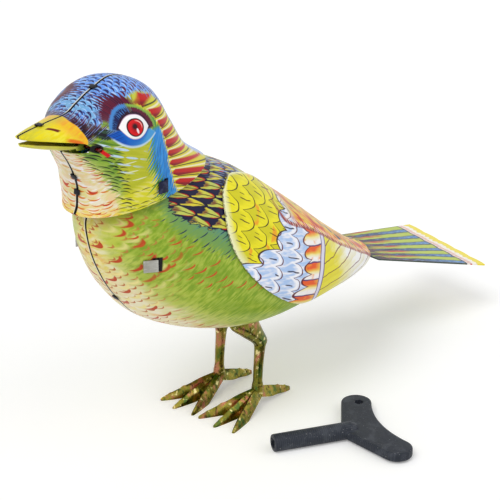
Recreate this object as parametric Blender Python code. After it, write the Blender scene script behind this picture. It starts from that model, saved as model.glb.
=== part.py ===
"""Clockwork tin singing bird with its loose winding key.

The bird stands on two pressed legs and faces -X, its left side is -Y and its midplane is y = 0.
Its body and its head are each two pressed half shells, held together by lugs. Inside the body a
spring motor turns a crank, and the crank rocks a lever that works the bellows, the whistle's
piston, the lower beak and the tail.

Every length here is in millimetres and every angle in degrees; MM and radians() turn them into
Blender's units where a mesh or a modifier is made. The finished object stands on z = 0, with the
origin in the middle of its box.
"""
from math import atan2, cos, hypot, pi, radians, sin

import bmesh
import bpy
from mathutils import Matrix, Vector

MM = 0.001

# Fits
SEAT = 0.3
SEAM = 0.3
RUNNING = 0.3
SLIP = 0.7

# Pressed sheet
BODY_WALL = 0.5
HEAD_WALL = 0.5
WING_WALL = 0.5
TAIL_SHEET = 0.5
LUG_SHEET = 0.5
SECTION_POWER = 2.15

# Lugs: where they come through the tin in side view, and their paths in plan up to there
BREAST_LUG = (-47.2, 72.0)
BREAST_LUG_START = [(-30.0, 11.3), (-42.5, 11.3), (-45.8, 13.4)]
NECK_LUG = (-42.8, 97.4)
NECK_LUG_START = [(-41.2, 11.7), (-42.2, 14.2)]
LUG_WIDTH = 4.0
LUG_FOLD = 3.6
LUG_SLOT = 0.9
# Tabs across the seams: section number, at the top or at the bottom
HEAD_TABS = [(1.55, "top"), (5.15, "top"), (6.3, "bottom"), (7.5, "bottom")]
BODY_TABS = [(4.1, "bottom")]
TAB_WIDTH = 2.4
TAB_REACH = 1.9

# Body sections from the neck to the tail opening:
# top x, top z, bottom x, bottom z, half width
BODY_SECTIONS = [
    (-22.0, 101.0, -56.0, 95.0, 12.0),
    (-15.2, 97.2, -59.2, 88.0, 16.4),
    (-8.3, 94.6, -59.9, 82.1, 19.3),
    (2.9, 88.6, -56.9, 70.7, 22.6),
    (13.6, 80.2, -49.5, 57.7, 25.9),
    (27.0, 69.9, -36.5, 45.2, 28.4),
    (40.2, 59.5, -12.4, 36.6, 28.3),
    (53.2, 50.4, 14.8, 39.0, 23.9),
    (63.2, 44.8, 46.0, 37.2, 15.6),
    (69.6, 42.6, 66.5, 35.8, 8.5),
]
BODY_STEPS = 20
BODY_SEGMENTS = 12

# Head sections from the beak's tip to the hood's rim, written as the body's are
HEAD_SECTIONS = [
    (-84.5, 118.9, -84.3, 117.9, 1.2),
    (-80.3, 119.7, -80.9, 115.5, 3.4),
    (-73.0, 120.7, -74.5, 112.8, 6.2),
    (-66.0, 121.6, -69.6, 111.6, 8.8),
    (-61.8, 123.9, -68.2, 109.6, 11.5),
    (-56.1, 126.9, -66.2, 106.5, 15.2),
    (-47.7, 129.8, -64.3, 102.6, 18.0),
    (-37.8, 126.1, -62.8, 97.9, 18.4),
    (-30.6, 115.8, -63.0, 94.2, 18.4),
    (-23.5, 105.4, -63.3, 91.2, 18.2),
    (-13.8, 98.4, -64.4, 88.9, 17.8),
]
HEAD_STEPS = 22
HEAD_SEGMENTS = 12

# Mouth: the upper beak's edge, the corner, and the cheek's edge below the lower beak
BEAK_TIP = (-84.5, 117.9)
MOUTH_CORNER = (-67.0, 114.4)
CHEEK_EDGE = (-68.4, 110.4)
BEAK_HINGE = (-64.6, 112.8)
BEAK_HINGE_PIN_RADIUS = 0.6
LOWER_BEAK_WALL = 0.5
BEAK_LEVER = (1.4, -6.0)
BEAK_LEVER_Y = -3.1

# Lower beak from its tip to its ears: x, rim z, depth, half width
LOWER_BEAK = [
    (-83.7, 116.3, 0.9, 1.1),
    (-80.0, 115.5, 1.4, 2.8),
    (-74.6, 114.5, 2.0, 4.9),
    (-69.6, 113.5, 2.1, 6.5),
    (-66.4, 113.1, 1.8, 7.1),
]

# Wing: body section number, upper edge and lower edge as angles round the section from its top
WING_EDGE = [
    (2.28, 43.0, 53.0),
    (2.40, 37.0, 65.0),
    (2.80, 28.0, 76.5),
    (3.40, 19.5, 87.0),
    (4.20, 12.0, 93.5),
    (5.00, 9.0, 97.5),
    (5.80, 9.0, 102.2),
    (6.50, 10.0, 106.2),
    (7.10, 14.0, 110.0),
    (7.70, 24.0, 104.5),
    (8.30, 46.0, 98.0),
    (8.72, 76.0, 92.0),
]
WING_CROWN = 1.4
WING_STEPS = 18
WING_SEGMENTS = 8

# Tail: pivot inside the rump, fan of flat sheet
TAIL_PIVOT = (52.0, 43.6)
TAIL_SLOPE = 15.0
TAIL_LEAN = 9.0
TAIL_LENGTH = 79.0
TAIL_TONGUE_LENGTH = 17.0
TAIL_TONGUE_HALF = 3.5
TAIL_ROOT_HALF = 11.0
TAIL_END_HALF = 20.0
TAIL_LEVER = 4.6
TAIL_SCALLOPS = 5
TAIL_SCALLOP_DEPTH = 0.8
TAIL_PIN_RADIUS = 0.7
TAIL_BARREL_WALL = 0.7
TAIL_BARREL_HALF = 2.5

# Legs: sections from the thigh inside the belly down to the ankle, x, z, half length, half width
LEG_Y = 9.4
LEG_SECTIONS = [
    (-0.2, 39.4, 4.8, 1.5),
    (0.6, 34.2, 6.4, 2.2),
    (4.6, 29.2, 4.9, 2.3),
    (8.6, 24.6, 3.2, 2.1),
    (8.7, 22.0, 2.1, 1.9),
    (8.1, 16.0, 1.75, 1.75),
    (7.7, 10.0, 1.7, 1.7),
    (7.6, 8.0, 2.0, 2.0),
    (7.5, 5.0, 2.3, 2.3),
]
LEG_HOLE_GAP = 0.35
LEG_SIDES = 10
ANKLE = (7.5, 0.0)

# Front toe tips and the back toe's tip, measured from the leg's own plane, outer toe first
TOE_TIPS = [(-13.5, -8.3), (-15.0, -0.6), (-13.9, 7.8)]
BACK_TOE_TIP = (24.4, 0.0)
# Sections of a front toe and of the back toe: share of its length, ridge z, sole z, half width
TOE_SECTIONS = [
    (0.00, 7.4, 4.2, 2.0),
    (0.30, 6.0, 2.4, 2.2),
    (0.50, 4.5, 0.7, 2.0),
    (0.58, 4.0, 0.0, 1.85),
    (0.80, 2.5, 0.0, 1.3),
    (0.96, 1.3, 0.0, 0.7),
    (1.00, 0.8, 0.0, 0.35),
]
BACK_TOE_SECTIONS = [
    (0.00, 7.6, 4.0, 2.3),
    (0.30, 6.1, 2.2, 1.9),
    (0.55, 4.6, 1.4, 1.3),
    (0.80, 3.0, 0.4, 0.8),
    (0.95, 1.8, 0.0, 0.45),
    (1.00, 1.3, 0.1, 0.25),
]
LEG_LUG_X = (-0.5, 6.0)
LEG_LUG_TOP = 45.0
LEG_LUG_SHEET = 0.8

# Key, lying on the floor
KEY_JUNCTION = (11.45, -48.6)
KEY_HEADING = 152.9
KEY_TUBE_RADIUS = 3.0
KEY_TUBE_LENGTH = 27.7
KEY_SQUARE = 3.2
KEY_SOCKET_DEPTH = 14.0
KEY_PLATE = 3.3
KEY_PLATE_Z = 2.35
KEY_WING_BACK = 9.6
KEY_WING_SPAN = 17.2
KEY_WING_RADIUS = 5.3
KEY_WING_BEARINGS = (22.0, 204.0)
KEY_WAIST = 11.3
KEY_STRING_HOLE = 1.6
KEY_STRING_HOLE_AT = (-10.2, -16.3)

# Motor frame: two plates, square to Y
PLATE = 0.6
PLATE_INSIDE = 11.0
PLATE_OUTLINE = [
    (-41.0, 61.5), (-39.2, 66.5), (-24.0, 75.5), (-8.0, 78.8), (11.0, 75.5), (16.0, 71.5),
    (16.0, 49.0), (10.0, 39.8), (0.5, 39.8), (-2.5, 46.8), (-13.5, 46.8), (-14.0, 40.4),
    (-17.6, 40.4), (-20.5, 42.0), (-29.0, 47.8), (-38.4, 57.0),
]
PILLARS = [(-38.0, 62.9), (-9.0, 75.6), (13.0, 51.2), (-16.6, 42.3), (13.4, 70.6)]
PILLAR_WORDS = ["spring", "top", "bellows", "bottom", "rear"]
PILLAR_RADIUS = 1.3
PILLAR_NECK = 0.8

# Gear train, all axes along Y. Module, then the teeth of each driver and driven gear.
SPRING_AXIS = (-22.0, 58.0)
GREAT_MODULE = 0.6
GREAT_TEETH = 48
SECOND_PINION_TEETH = 12
SECOND_MODULE = 0.5
SECOND_TEETH = 40
CRANK_PINION_TEETH = 10
GOVERNOR_MODULE = 0.5
CRANK_TEETH = 36
GOVERNOR_PINION_TEETH = 9
SECOND_BEARING = -10.0
CRANK_BEARING = 30.0
GOVERNOR_BEARING = 95.0
WHEEL = 1.2
WINDOW_TURN = 5.0
ARBOR_RADIUS = 0.8
GREAT_Y = 0.0
SECOND_Y = 4.0
CRANK_Y = -4.5
FAN_Y = 1.5
FAN_LENGTH = 8.0
FAN_RADIUS = 4.0

# Winding side
WINDING_ARBOR_RADIUS = 1.6
WINDING_SQUARE = 2.6
ARBOR_END_Y = 25.2
KEY_HOLE_RADIUS = 3.8
RATCHET_TEETH = 12
RATCHET_RADIUS = 5.0
RATCHET_DEPTH = 0.9
CLICK_BEARING = 70.0
CLICK_STUD = 0.6
# Click in the ratchet's own frame, x pointing at the tooth it holds
CLICK_PIVOT = (6.7, 6.3)
CLICK_OUTLINE = [(4.62, 0.45), (5.6, 0.3), (7.2, 2.0), (8.2, 5.4), (7.9, 7.2), (6.6, 7.9), (5.4, 7.0),
                 (5.75, 3.6), (5.35, 1.5)]
CLICK_SPRING = [(11.5, -3.4), (10.4, 0.6), (8.15, 3.0)]
MAINSPRING_START = 100.0
MAINSPRING_TURNS = 5.0
MAINSPRING_RADIUS = 9.6
MAINSPRING_STRIP = 0.35
MAINSPRING_WIDTH = 8.0
MAINSPRING_Y = -9.5

# Crank and rocking lever, outside the left plate
CRANK_DISC_RADIUS = 4.6
CRANK_THROW = 1.94
CRANK_PHASE = 31.0
CRANK_PIN_RADIUS = 0.7
ROCKER_AXIS = (-8.0, 66.0)
ROCKER_Y = -14.6
ROCKER_SHEET = 0.8
ROCKER_HALF = 1.9
ROCKER_STUD = 0.9
BEAK_ROD_ARM = 4.2
TAIL_ROD_ARM = -2.8
BELLOWS_ARM = 23.7
BELLOWS_PIN_SLIP = 1.0
ROD_RADIUS = 0.5
ROD_SIDES = 6
ROD_SLIP = 0.4

# Bellows and whistle, behind the frame
BELLOWS_FRONT = 17.6
BELLOWS_BACK = 42.0
BELLOWS_HALF = 9.6
BELLOWS_BASE_Z = 46.0
BELLOWS_FOOT_X = 12.2
BELLOWS_BOARD = 1.2
BELLOWS_OPENING = 20.0
WHISTLE_RADIUS = 2.5
WHISTLE_WALL = 0.5
WHISTLE_SPAN = (14.5, 38.0)
WHISTLE_Z = BELLOWS_BASE_Z - SEAT - WHISTLE_RADIUS
PISTON_SPAN = (20.0, 24.0)
PISTON_ROD_RADIUS = 0.6


def gear_distance(module, driver, driven):
    """Distance between the axes of two gears in mesh."""
    return module * (driver + driven) / 2


def step_from(point, distance, bearing):
    """Point in side view at a distance and a bearing from another, +X being 0 and +Z 90."""
    return (point[0] + distance * cos(radians(bearing)), point[1] + distance * sin(radians(bearing)))


SECOND_AXIS = step_from(SPRING_AXIS, gear_distance(GREAT_MODULE, GREAT_TEETH, SECOND_PINION_TEETH),
                        SECOND_BEARING)
CRANK_AXIS = step_from(SECOND_AXIS, gear_distance(SECOND_MODULE, SECOND_TEETH, CRANK_PINION_TEETH),
                       CRANK_BEARING)
GOVERNOR_AXIS = step_from(CRANK_AXIS,
                          gear_distance(GOVERNOR_MODULE, CRANK_TEETH, GOVERNOR_PINION_TEETH),
                          GOVERNOR_BEARING)

# Colour, roughness, metallic
PAINTS = {
    "body_tin": ((0.45, 0.60, 0.10), 0.30, 0.3),
    "head_tin": ((0.10, 0.27, 0.62), 0.30, 0.3),
    "wing_tin": ((0.80, 0.72, 0.08), 0.30, 0.3),
    "tail_tin": ((0.35, 0.52, 0.42), 0.30, 0.3),
    "beak_tin": ((0.86, 0.66, 0.05), 0.30, 0.3),
    "leg_plate": ((0.42, 0.38, 0.12), 0.32, 0.9),
    "key_plastic": ((0.035, 0.04, 0.05), 0.55, 0.0),
    "frame_steel": ((0.55, 0.55, 0.53), 0.40, 1.0),
    "wheel_brass": ((0.70, 0.52, 0.20), 0.35, 1.0),
    "arbor_steel": ((0.45, 0.45, 0.46), 0.30, 1.0),
    "spring_steel": ((0.16, 0.19, 0.26), 0.35, 1.0),
    "board_card": ((0.42, 0.30, 0.18), 0.80, 0.0),
    "bellows_leather": ((0.72, 0.62, 0.46), 0.75, 0.0),
    "whistle_brass": ((0.72, 0.55, 0.22), 0.30, 1.0),
}


def clear_scene():
    """Empty the scene."""
    for item in list(bpy.data.objects):
        bpy.data.objects.remove(item, do_unlink=True)


def paint(name):
    """Material of a given name, made once."""
    material = bpy.data.materials.get(name)
    if material is None:
        colour, roughness, metallic = PAINTS[name]
        material = bpy.data.materials.new(name)
        material.use_nodes = True
        shader = material.node_tree.nodes["Principled BSDF"]
        shader.inputs["Base Color"].default_value = (*colour, 1.0)
        shader.inputs["Roughness"].default_value = roughness
        shader.inputs["Metallic"].default_value = metallic
    return material


def make_object(name, bm, material, parent, origin=(0.0, 0.0, 0.0), smooth_angle=35.0):
    """Object from a mesh built in millimetres, with its origin at a point of the bird's frame."""
    bmesh.ops.recalc_face_normals(bm, faces=bm.faces)
    bmesh.ops.translate(bm, verts=bm.verts, vec=-Vector(origin))
    bmesh.ops.scale(bm, verts=bm.verts, vec=(MM, MM, MM))
    mesh = bpy.data.meshes.new(name)
    bm.to_mesh(mesh)
    bm.free()
    item = bpy.data.objects.new(name, mesh)
    bpy.context.scene.collection.objects.link(item)
    item.parent = parent
    item.location = Vector(origin) * MM
    if material:
        mesh.materials.append(paint(material))
        mesh.shade_smooth()
        mesh.set_sharp_from_angle(angle=radians(smooth_angle))
    else:
        item.hide_render = True
        item.display_type = "WIRE"
    return item


def apply_boolean(item, other, operation):
    """Boolean modifier that cuts or joins another object."""
    modifier = item.modifiers.new(other.name, "BOOLEAN")
    modifier.operation = operation
    modifier.solver = "EXACT"
    modifier.object = other
    return modifier


def cut(item, *cutters):
    """Cut hidden bodies out of an object."""
    for cutter in cutters:
        apply_boolean(item, cutter, "DIFFERENCE")


def join(item, *bodies):
    """Fuse hidden bodies to an object."""
    for body in bodies:
        apply_boolean(item, body, "UNION")


def catmull(points, t):
    """Smooth value at parameter t of a list of tuples, one per whole number."""
    index = int(min(max(t, 0), len(points) - 2))
    f = t - index
    before = points[max(index - 1, 0)]
    after = points[min(index + 2, len(points) - 1)]
    return tuple(
        0.5 * (2 * b + (c - a) * f + (2 * a - 5 * b + 4 * c - d) * f * f + (3 * b - a - 3 * c + d) * f ** 3)
        for a, b, c, d in zip(before, points[index], points[index + 1], after))


def section_point(sections, t, angle, side, inset=0.0):
    """Point on a shell: t along it, angle round the section from its top, side -1 left or 1 right."""
    top_x, top_z, low_x, low_z, half = catmull(sections, t)
    half_x = (top_x - low_x) / 2
    half_z = (top_z - low_z) / 2
    height = hypot(half_x, half_z)
    shrink = max(height - inset, 0.1 * height) / height
    power = 2 / SECTION_POWER
    along = abs(cos(angle)) ** power * (1 if cos(angle) > 0 else -1) * shrink
    across = abs(sin(angle)) ** power * max(half - inset, 0.1 * half)
    return Vector(((top_x + low_x) / 2 + half_x * along, side * (across + SEAM / 2),
                   (top_z + low_z) / 2 + half_z * along))


def section_normal(sections, t, angle, side):
    """Outward normal of a shell at a point."""
    small = 0.01
    here = section_point(sections, t, angle, side)
    along = section_point(sections, t + small, angle, side) - here
    across = section_point(sections, t, angle + small, side) - here
    normal = across.cross(along)
    return (normal * (1 if normal.y * side > 0 else -1)).normalized()


def spread(first, last, count):
    """Evenly spaced numbers."""
    return [first + (last - first) * step / (count - 1) for step in range(count)]


def grid_solid(outer, inner):
    """Closed shell between two grids of points that share their layout."""
    bm = bmesh.new()
    rows = len(outer)
    columns = len(outer[0])
    skins = [[[bm.verts.new(point) for point in row] for row in grid] for grid in (outer, inner)]
    for skin in skins:
        for i in range(rows - 1):
            for j in range(columns - 1):
                bm.faces.new((skin[i][j], skin[i + 1][j], skin[i + 1][j + 1], skin[i][j + 1]))
    border = [(i, 0) for i in range(rows)]
    border += [(rows - 1, j) for j in range(1, columns)]
    border += [(i, columns - 1) for i in range(rows - 2, -1, -1)]
    border += [(0, j) for j in range(columns - 2, 0, -1)]
    for (i, j), (k, l) in zip(border, border[1:] + border[:1]):
        bm.faces.new((skins[0][i][j], skins[0][k][l], skins[1][k][l], skins[1][i][j]))
    return bm


def half_shell(name, sections, side, wall, steps, segments, material, parent):
    """Left or right half of a pressed tin form."""
    stations = spread(0, len(sections) - 1, steps)
    angles = spread(0, pi, segments + 1)
    outer = [[section_point(sections, t, a, side) for a in angles] for t in stations]
    inner = [[section_point(sections, t, a, side, wall) for a in angles] for t in stations]
    return make_object(name, grid_solid(outer, inner), material, parent, smooth_angle=50)


def fill_outline(bm, outline, holes):
    """Flat face in side view, at y = 0, with round or shaped holes."""
    edges = []
    for loop in [outline, *holes]:
        verts = [bm.verts.new((x, 0.0, z)) for x, z in loop]
        edges += [bm.edges.new(pair) for pair in zip(verts, verts[1:] + verts[:1])]
    bmesh.ops.triangle_fill(bm, use_beauty=True, use_dissolve=False, edges=edges, normal=(0, 1, 0))


def plate_mesh(outline, holes, low_y, high_y):
    """Flat plate with an outline in side view, between two planes square to Y."""
    bm = bmesh.new()
    fill_outline(bm, outline, holes)
    extruded = bmesh.ops.extrude_face_region(bm, geom=bm.faces[:], use_keep_orig=True)
    moved = [part for part in extruded["geom"] if isinstance(part, bmesh.types.BMVert)]
    bmesh.ops.translate(bm, verts=bm.verts, vec=(0, low_y, 0))
    bmesh.ops.translate(bm, verts=moved, vec=(0, high_y - low_y, 0))
    return bm


def circle(centre, radius, sides=12, turn=0.0):
    """Points round a circle in side view."""
    return [(centre[0] + radius * cos(2 * pi * k / sides + turn),
             centre[1] + radius * sin(2 * pi * k / sides + turn)) for k in range(sides)]


def rod_mesh(path, radius, sides=ROD_SIDES):
    """Round wire along a path of points."""
    bm = bmesh.new()
    points = [Vector(point) for point in path]
    rings = []
    for index, point in enumerate(points):
        before = points[max(index - 1, 0)]
        after = points[min(index + 1, len(points) - 1)]
        frame = (after - before).to_track_quat("Z", "Y").to_matrix()
        rings.append([bm.verts.new(point + frame @ Vector((radius * cos(2 * pi * k / sides),
                                                           radius * sin(2 * pi * k / sides), 0)))
                      for k in range(sides)])
    for ring, following in zip(rings, rings[1:]):
        for k in range(sides):
            n = (k + 1) % sides
            bm.faces.new((ring[k], ring[n], following[n], following[k]))
    bm.faces.new(rings[0])
    bm.faces.new(rings[-1])
    return bm


def pin_mesh(centre, profile, sides=12):
    """Turned piece on an axis along Y: profile is a list of (y, radius)."""
    bm = bmesh.new()
    rings = [[bm.verts.new((centre[0] + radius * cos(2 * pi * k / sides), y,
                            centre[1] + radius * sin(2 * pi * k / sides)))
              for k in range(sides)] for y, radius in profile]
    for ring, following in zip(rings, rings[1:]):
        for k in range(sides):
            n = (k + 1) % sides
            bm.faces.new((ring[k], ring[n], following[n], following[k]))
    bm.faces.new(rings[0])
    bm.faces.new(rings[-1])
    return bm


def box_mesh(low, high):
    """Block between two corners."""
    bm = bmesh.new()
    bmesh.ops.create_cube(bm, size=1.0)
    size = Vector(high) - Vector(low)
    bmesh.ops.scale(bm, verts=bm.verts, vec=size)
    bmesh.ops.translate(bm, verts=bm.verts, vec=Vector(low) + size / 2)
    return bm


def strip_mesh(path, thickness, low_z, high_z):
    """Strip of sheet bent along a path of (x, y) points, standing between two heights."""
    normals = []
    for index in range(len(path)):
        before = path[max(index - 1, 0)]
        after = path[min(index + 1, len(path) - 1)]
        length = hypot(after[0] - before[0], after[1] - before[1])
        normals.append((-(after[1] - before[1]) / length, (after[0] - before[0]) / length))
    bm = bmesh.new()
    half = thickness / 2
    rings = [[bm.verts.new((x + sign * half * nx, y + sign * half * ny, z))
              for sign, z in ((-1, low_z), (1, low_z), (1, high_z), (-1, high_z))]
             for (x, y), (nx, ny) in zip(path, normals)]
    for ring, following in zip(rings, rings[1:]):
        for k in range(4):
            n = (k + 1) % 4
            bm.faces.new((ring[k], ring[n], following[n], following[k]))
    bm.faces.new(rings[0])
    bm.faces.new(rings[-1])
    return bm


def gear_outline(centre, module, teeth, phase):
    """Outline of a gear whose first tooth points at the bearing phase, in degrees."""
    pitch_radius = module * teeth / 2
    tip = pitch_radius + 0.75 * module
    root = pitch_radius - 1.05 * module
    pitch = 2 * pi / teeth
    corners = ((-0.27, root), (-0.10, tip), (0.10, tip), (0.27, root))
    return [(centre[0] + radius * cos(radians(phase) + pitch * (k + share)),
             centre[1] + radius * sin(radians(phase) + pitch * (k + share)))
            for k in range(teeth) for share, radius in corners]


def body_shells(parent):
    """Two half shells of the body with the leg holes, lug slots and key hole."""
    shells = {}
    for side, word in ((-1, "left"), (1, "right")):
        shells[side] = half_shell(f"body_shell_{word}", BODY_SECTIONS, side, BODY_WALL, BODY_STEPS,
                                  BODY_SEGMENTS, "body_tin", parent)
    key_hole = make_object("key_hole_cutter", pin_mesh(SPRING_AXIS, [(20, KEY_HOLE_RADIUS),
                                                                     (34, KEY_HOLE_RADIUS)], 16),
                           None, parent)
    cut(shells[1], key_hole)
    for side, word in ((-1, "left"), (1, "right")):
        cut(shells[side], lug_slot("breast", BODY_SECTIONS, BREAST_LUG, side, word, parent))
        path = lug_path(HEAD_SECTIONS, NECK_LUG, NECK_LUG_START, LUG_SHEET, side)
        lug = strip_mesh(path, LUG_SHEET, NECK_LUG[1] - LUG_WIDTH / 2, NECK_LUG[1] + LUG_WIDTH / 2)
        join(shells[side], make_object(f"neck_lug_{word}_body", lug, None, parent))
    for t, end in BODY_TABS:
        join(shells[1], seam_tab(BODY_SECTIONS, t, end, f"body_tab_{t}", parent))
    return shells


def lug_path(sections, exit_point, start, thickness, side):
    """Path in plan of a lug that passes through the tin and is folded forward over it."""
    x, z = exit_point
    edges = (z - LUG_WIDTH / 2, z + LUG_WIDTH / 2)
    wall = max(wall_at(sections, x, edge) for edge in edges)
    tip_wall = max(wall_at(sections, x - LUG_FOLD, edge) for edge in edges)
    lift = (SEAT + thickness / 2) * hypot(LUG_FOLD, wall - tip_wall) / LUG_FOLD
    path = [*start, (x, wall + lift), (x - LUG_FOLD, tip_wall + lift)]
    return [(point_x, side * point_y) for point_x, point_y in path]


def lug_slot(name, sections, exit_point, side, word, parent):
    """Cutter for the slot that a lug passes through."""
    x, z = exit_point
    low, high = sorted((side * (wall_at(sections, x, z) - 3), side * (wall_at(sections, x, z) + 3)))
    half = LUG_WIDTH / 2 + SEAT
    box = box_mesh((x - LUG_SLOT, low, z - half), (x + LUG_SLOT, high, z + half))
    return make_object(f"{name}_slot_{word}_cutter", box, None, parent)


def seam_tab(sections, t, end, name, parent):
    """Tab on the right half's edge that is bent over the left half's edge."""
    here = catmull(sections, t)
    ahead = catmull(sections, t + 0.05)
    first = 0 if end == "top" else 2
    point = Vector((here[first], 0, here[first + 1]))
    other = Vector((here[2 - first], 0, here[3 - first]))
    along = Vector((ahead[first] - here[first], 0, ahead[first + 1] - here[first + 1])).normalized()
    outward = Vector((-along.z, 0, along.x))
    if outward.dot(point - other) < 0:
        outward.negate()
    placing = Matrix((Vector((0, 1, 0)), along, outward)).transposed().to_4x4()
    placing.translation = point
    top = SEAT + LUG_SHEET
    bend = [(1.6, -0.35), (1.6, top), (-TAB_REACH, top), (-TAB_REACH, SEAT), (0.45, SEAT), (0.45, -0.35)]
    tab = plate_mesh(bend, [], -TAB_WIDTH / 2, TAB_WIDTH / 2)
    bmesh.ops.transform(tab, matrix=placing, verts=tab.verts)
    return make_object(f"{name}_body", tab, None, parent)


def head_shells(parent):
    """Two half shells of the head, upper beak included, with the mouth cut out."""
    mouth = [(BEAK_TIP[0] - 4, BEAK_TIP[1] + 0.2), (BEAK_TIP[0], BEAK_TIP[1]), MOUTH_CORNER,
             (MOUTH_CORNER[0] + 1.0, MOUTH_CORNER[1] - 0.9), (MOUTH_CORNER[0] + 0.9, CHEEK_EDGE[1] + 1.2),
             CHEEK_EDGE, (CHEEK_EDGE[0] - 3, CHEEK_EDGE[1] - 3.5), (BEAK_TIP[0] - 4, CHEEK_EDGE[1] - 6)]
    mouth_cutter = make_object("mouth_cutter", plate_mesh(mouth, [], -16, 16), None, parent)
    pin_hole = make_object("beak_pin_hole_cutter",
                           pin_mesh(BEAK_HINGE, [(-16, BEAK_HINGE_PIN_RADIUS + SEAT),
                                                 (16, BEAK_HINGE_PIN_RADIUS + SEAT)], 10), None, parent)
    shells = {}
    for side, word in ((-1, "left"), (1, "right")):
        shells[side] = half_shell(f"head_shell_{word}", HEAD_SECTIONS, side, HEAD_WALL, HEAD_STEPS,
                                  HEAD_SEGMENTS, "head_tin", parent)
        cut(shells[side], mouth_cutter, pin_hole,
            lug_slot("neck", HEAD_SECTIONS, NECK_LUG, side, word, parent))
    for t, end in HEAD_TABS:
        join(shells[1], seam_tab(HEAD_SECTIONS, t, end, f"head_tab_{t}", parent))
    return shells


def wall_at(sections, x, z, inset=0.0):
    """Half width of a shell's outside, or of a form inset from it, on a line along Y at x, z."""
    def side_of(t):
        top_x, top_z, low_x, low_z, _ = catmull(sections, t)
        return (top_x - low_x) * (z - low_z) - (top_z - low_z) * (x - low_x)

    low, high = 0.0, len(sections) - 1.0
    rising = side_of(high) > side_of(low)
    for _ in range(30):
        middle = (low + high) / 2
        if (side_of(middle) > 0) == rising:
            high = middle
        else:
            low = middle
    top_x, top_z, low_x, low_z, half = catmull(sections, low)
    height = hypot(top_x - low_x, top_z - low_z) / 2 - inset
    reach = hypot(x - (top_x + low_x) / 2, z - (top_z + low_z) / 2) / height
    return (half - inset) * max(1 - reach ** SECTION_POWER, 0.0) ** (1 / SECTION_POWER) + SEAM / 2


def reach_inside(sections, wall, centre, radius):
    """How far a round pin along Y can go each way before it meets the inside of a shell."""
    angles = [k * pi / 4 for k in range(8)]
    points = [(centre[0] + radius * cos(a), centre[1] + radius * sin(a)) for a in angles]
    return min(wall_at(sections, x, z, wall) for x, z in points)


def lower_beak(parent):
    """Trough of the lower beak, with two ears on the hinge pin and a lever behind its chin."""
    outer = []
    inner = []
    for t in spread(0, len(LOWER_BEAK) - 1, 11):
        x, rim_z, depth, half = catmull(LOWER_BEAK, t)
        angles = spread(-pi / 2, pi / 2, 9)
        outer.append([(x, half * sin(a), rim_z - depth * cos(a)) for a in angles])
        within = half - LOWER_BEAK_WALL
        shallow = depth - LOWER_BEAK_WALL
        inner.append([(x, within * sin(a), rim_z + 0.02 - shallow * cos(a)) for a in angles])
    item = make_object("lower_beak", grid_solid(outer, inner), "beak_tin", parent,
                       (BEAK_HINGE[0], 0, BEAK_HINGE[1]), 50)
    rear_x, rear_z, depth, half = LOWER_BEAK[-1]
    hinge_x, hinge_z = BEAK_HINGE
    bore = BEAK_HINGE_PIN_RADIUS + RUNNING
    ear = [(rear_x - 1.6, rear_z - 1.1), (rear_x - 1.6, rear_z - 0.2),
           (hinge_x - bore - 0.3, hinge_z + bore + 0.5), (hinge_x + bore + 0.3, hinge_z + bore + 0.5),
           (hinge_x + bore + 0.7, hinge_z - bore + 0.1), (rear_x, rear_z - bore - 0.6)]
    pin_hole = circle(BEAK_HINGE, bore, 8)
    for side, word in ((-1, "left"), (1, "right")):
        low, high = sorted((side * (half - 0.8), side * (half - 0.2)))
        ear_plate = plate_mesh(ear, [pin_hole], low, high)
        join(item, make_object(f"beak_ear_{word}_body", ear_plate, None, parent))
    eye = beak_lever_eye()
    chin = rear_z - depth
    lever = [(rear_x - 1.6, chin + 0.1), (rear_x - 0.05, chin + 0.5), (eye[0] + 1.3, eye[1] + 0.6),
             (eye[0] + 1.0, eye[1] - 1.1), (eye[0] - 1.0, eye[1] - 1.1), (eye[0] - 1.4, eye[1] + 0.3)]
    hole = circle(eye, ROD_RADIUS + ROD_SLIP, 8)
    lever_plate = plate_mesh(lever, [hole], BEAK_LEVER_Y - 0.3, BEAK_LEVER_Y + 0.3)
    join(item, make_object("beak_lever_body", lever_plate, None, parent))
    return item


def beak_lever_eye():
    """Centre of the eye that the beak's rod hooks into."""
    return (BEAK_HINGE[0] + BEAK_LEVER[0], BEAK_HINGE[1] + BEAK_LEVER[1])


def beak_hinge_pin(parent):
    """Wire through both cheeks that the lower beak turns on."""
    reach = wall_at(HEAD_SECTIONS, *BEAK_HINGE) + 0.5
    profile = [(-reach, BEAK_HINGE_PIN_RADIUS), (reach, BEAK_HINGE_PIN_RADIUS)]
    return make_object("beak_hinge_pin", pin_mesh(BEAK_HINGE, profile, 8), "arbor_steel", parent,
                       (BEAK_HINGE[0], 0, BEAK_HINGE[1]))


def wing(side, word, parent):
    """Pressed wing that hugs the body's side and is crowned between its edges."""
    outer = []
    inner = []
    last = len(WING_EDGE) - 1
    for u in spread(0, last, WING_STEPS):
        t, upper, lower = catmull(WING_EDGE, u)
        outer_row = []
        inner_row = []
        for share in spread(0, 1, WING_SEGMENTS + 1):
            angle = radians(upper + (lower - upper) * share)
            point = section_point(BODY_SECTIONS, t, angle, side)
            normal = section_normal(BODY_SECTIONS, t, angle, side)
            crown = WING_CROWN * (max(sin(pi * u / last), 0) * sin(pi * share)) ** 0.6
            inner_row.append(point + normal * (SEAT + crown))
            outer_row.append(point + normal * (SEAT + crown + WING_WALL))
        outer.append(outer_row)
        inner.append(inner_row)
    return make_object(f"wing_{word}", grid_solid(outer, inner), "wing_tin", parent, smooth_angle=50)


def tail_matrix():
    """Placing of the tail's own plane: x back along the tail, y its normal and z across."""
    slope = Matrix.Rotation(radians(TAIL_SLOPE), 4, "Y")
    lean = Matrix.Rotation(radians(TAIL_LEAN), 4, "X")
    flat = Matrix.Rotation(radians(90), 4, "X")
    return Matrix.Translation((TAIL_PIVOT[0], 0, TAIL_PIVOT[1])) @ slope @ lean @ flat


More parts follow.
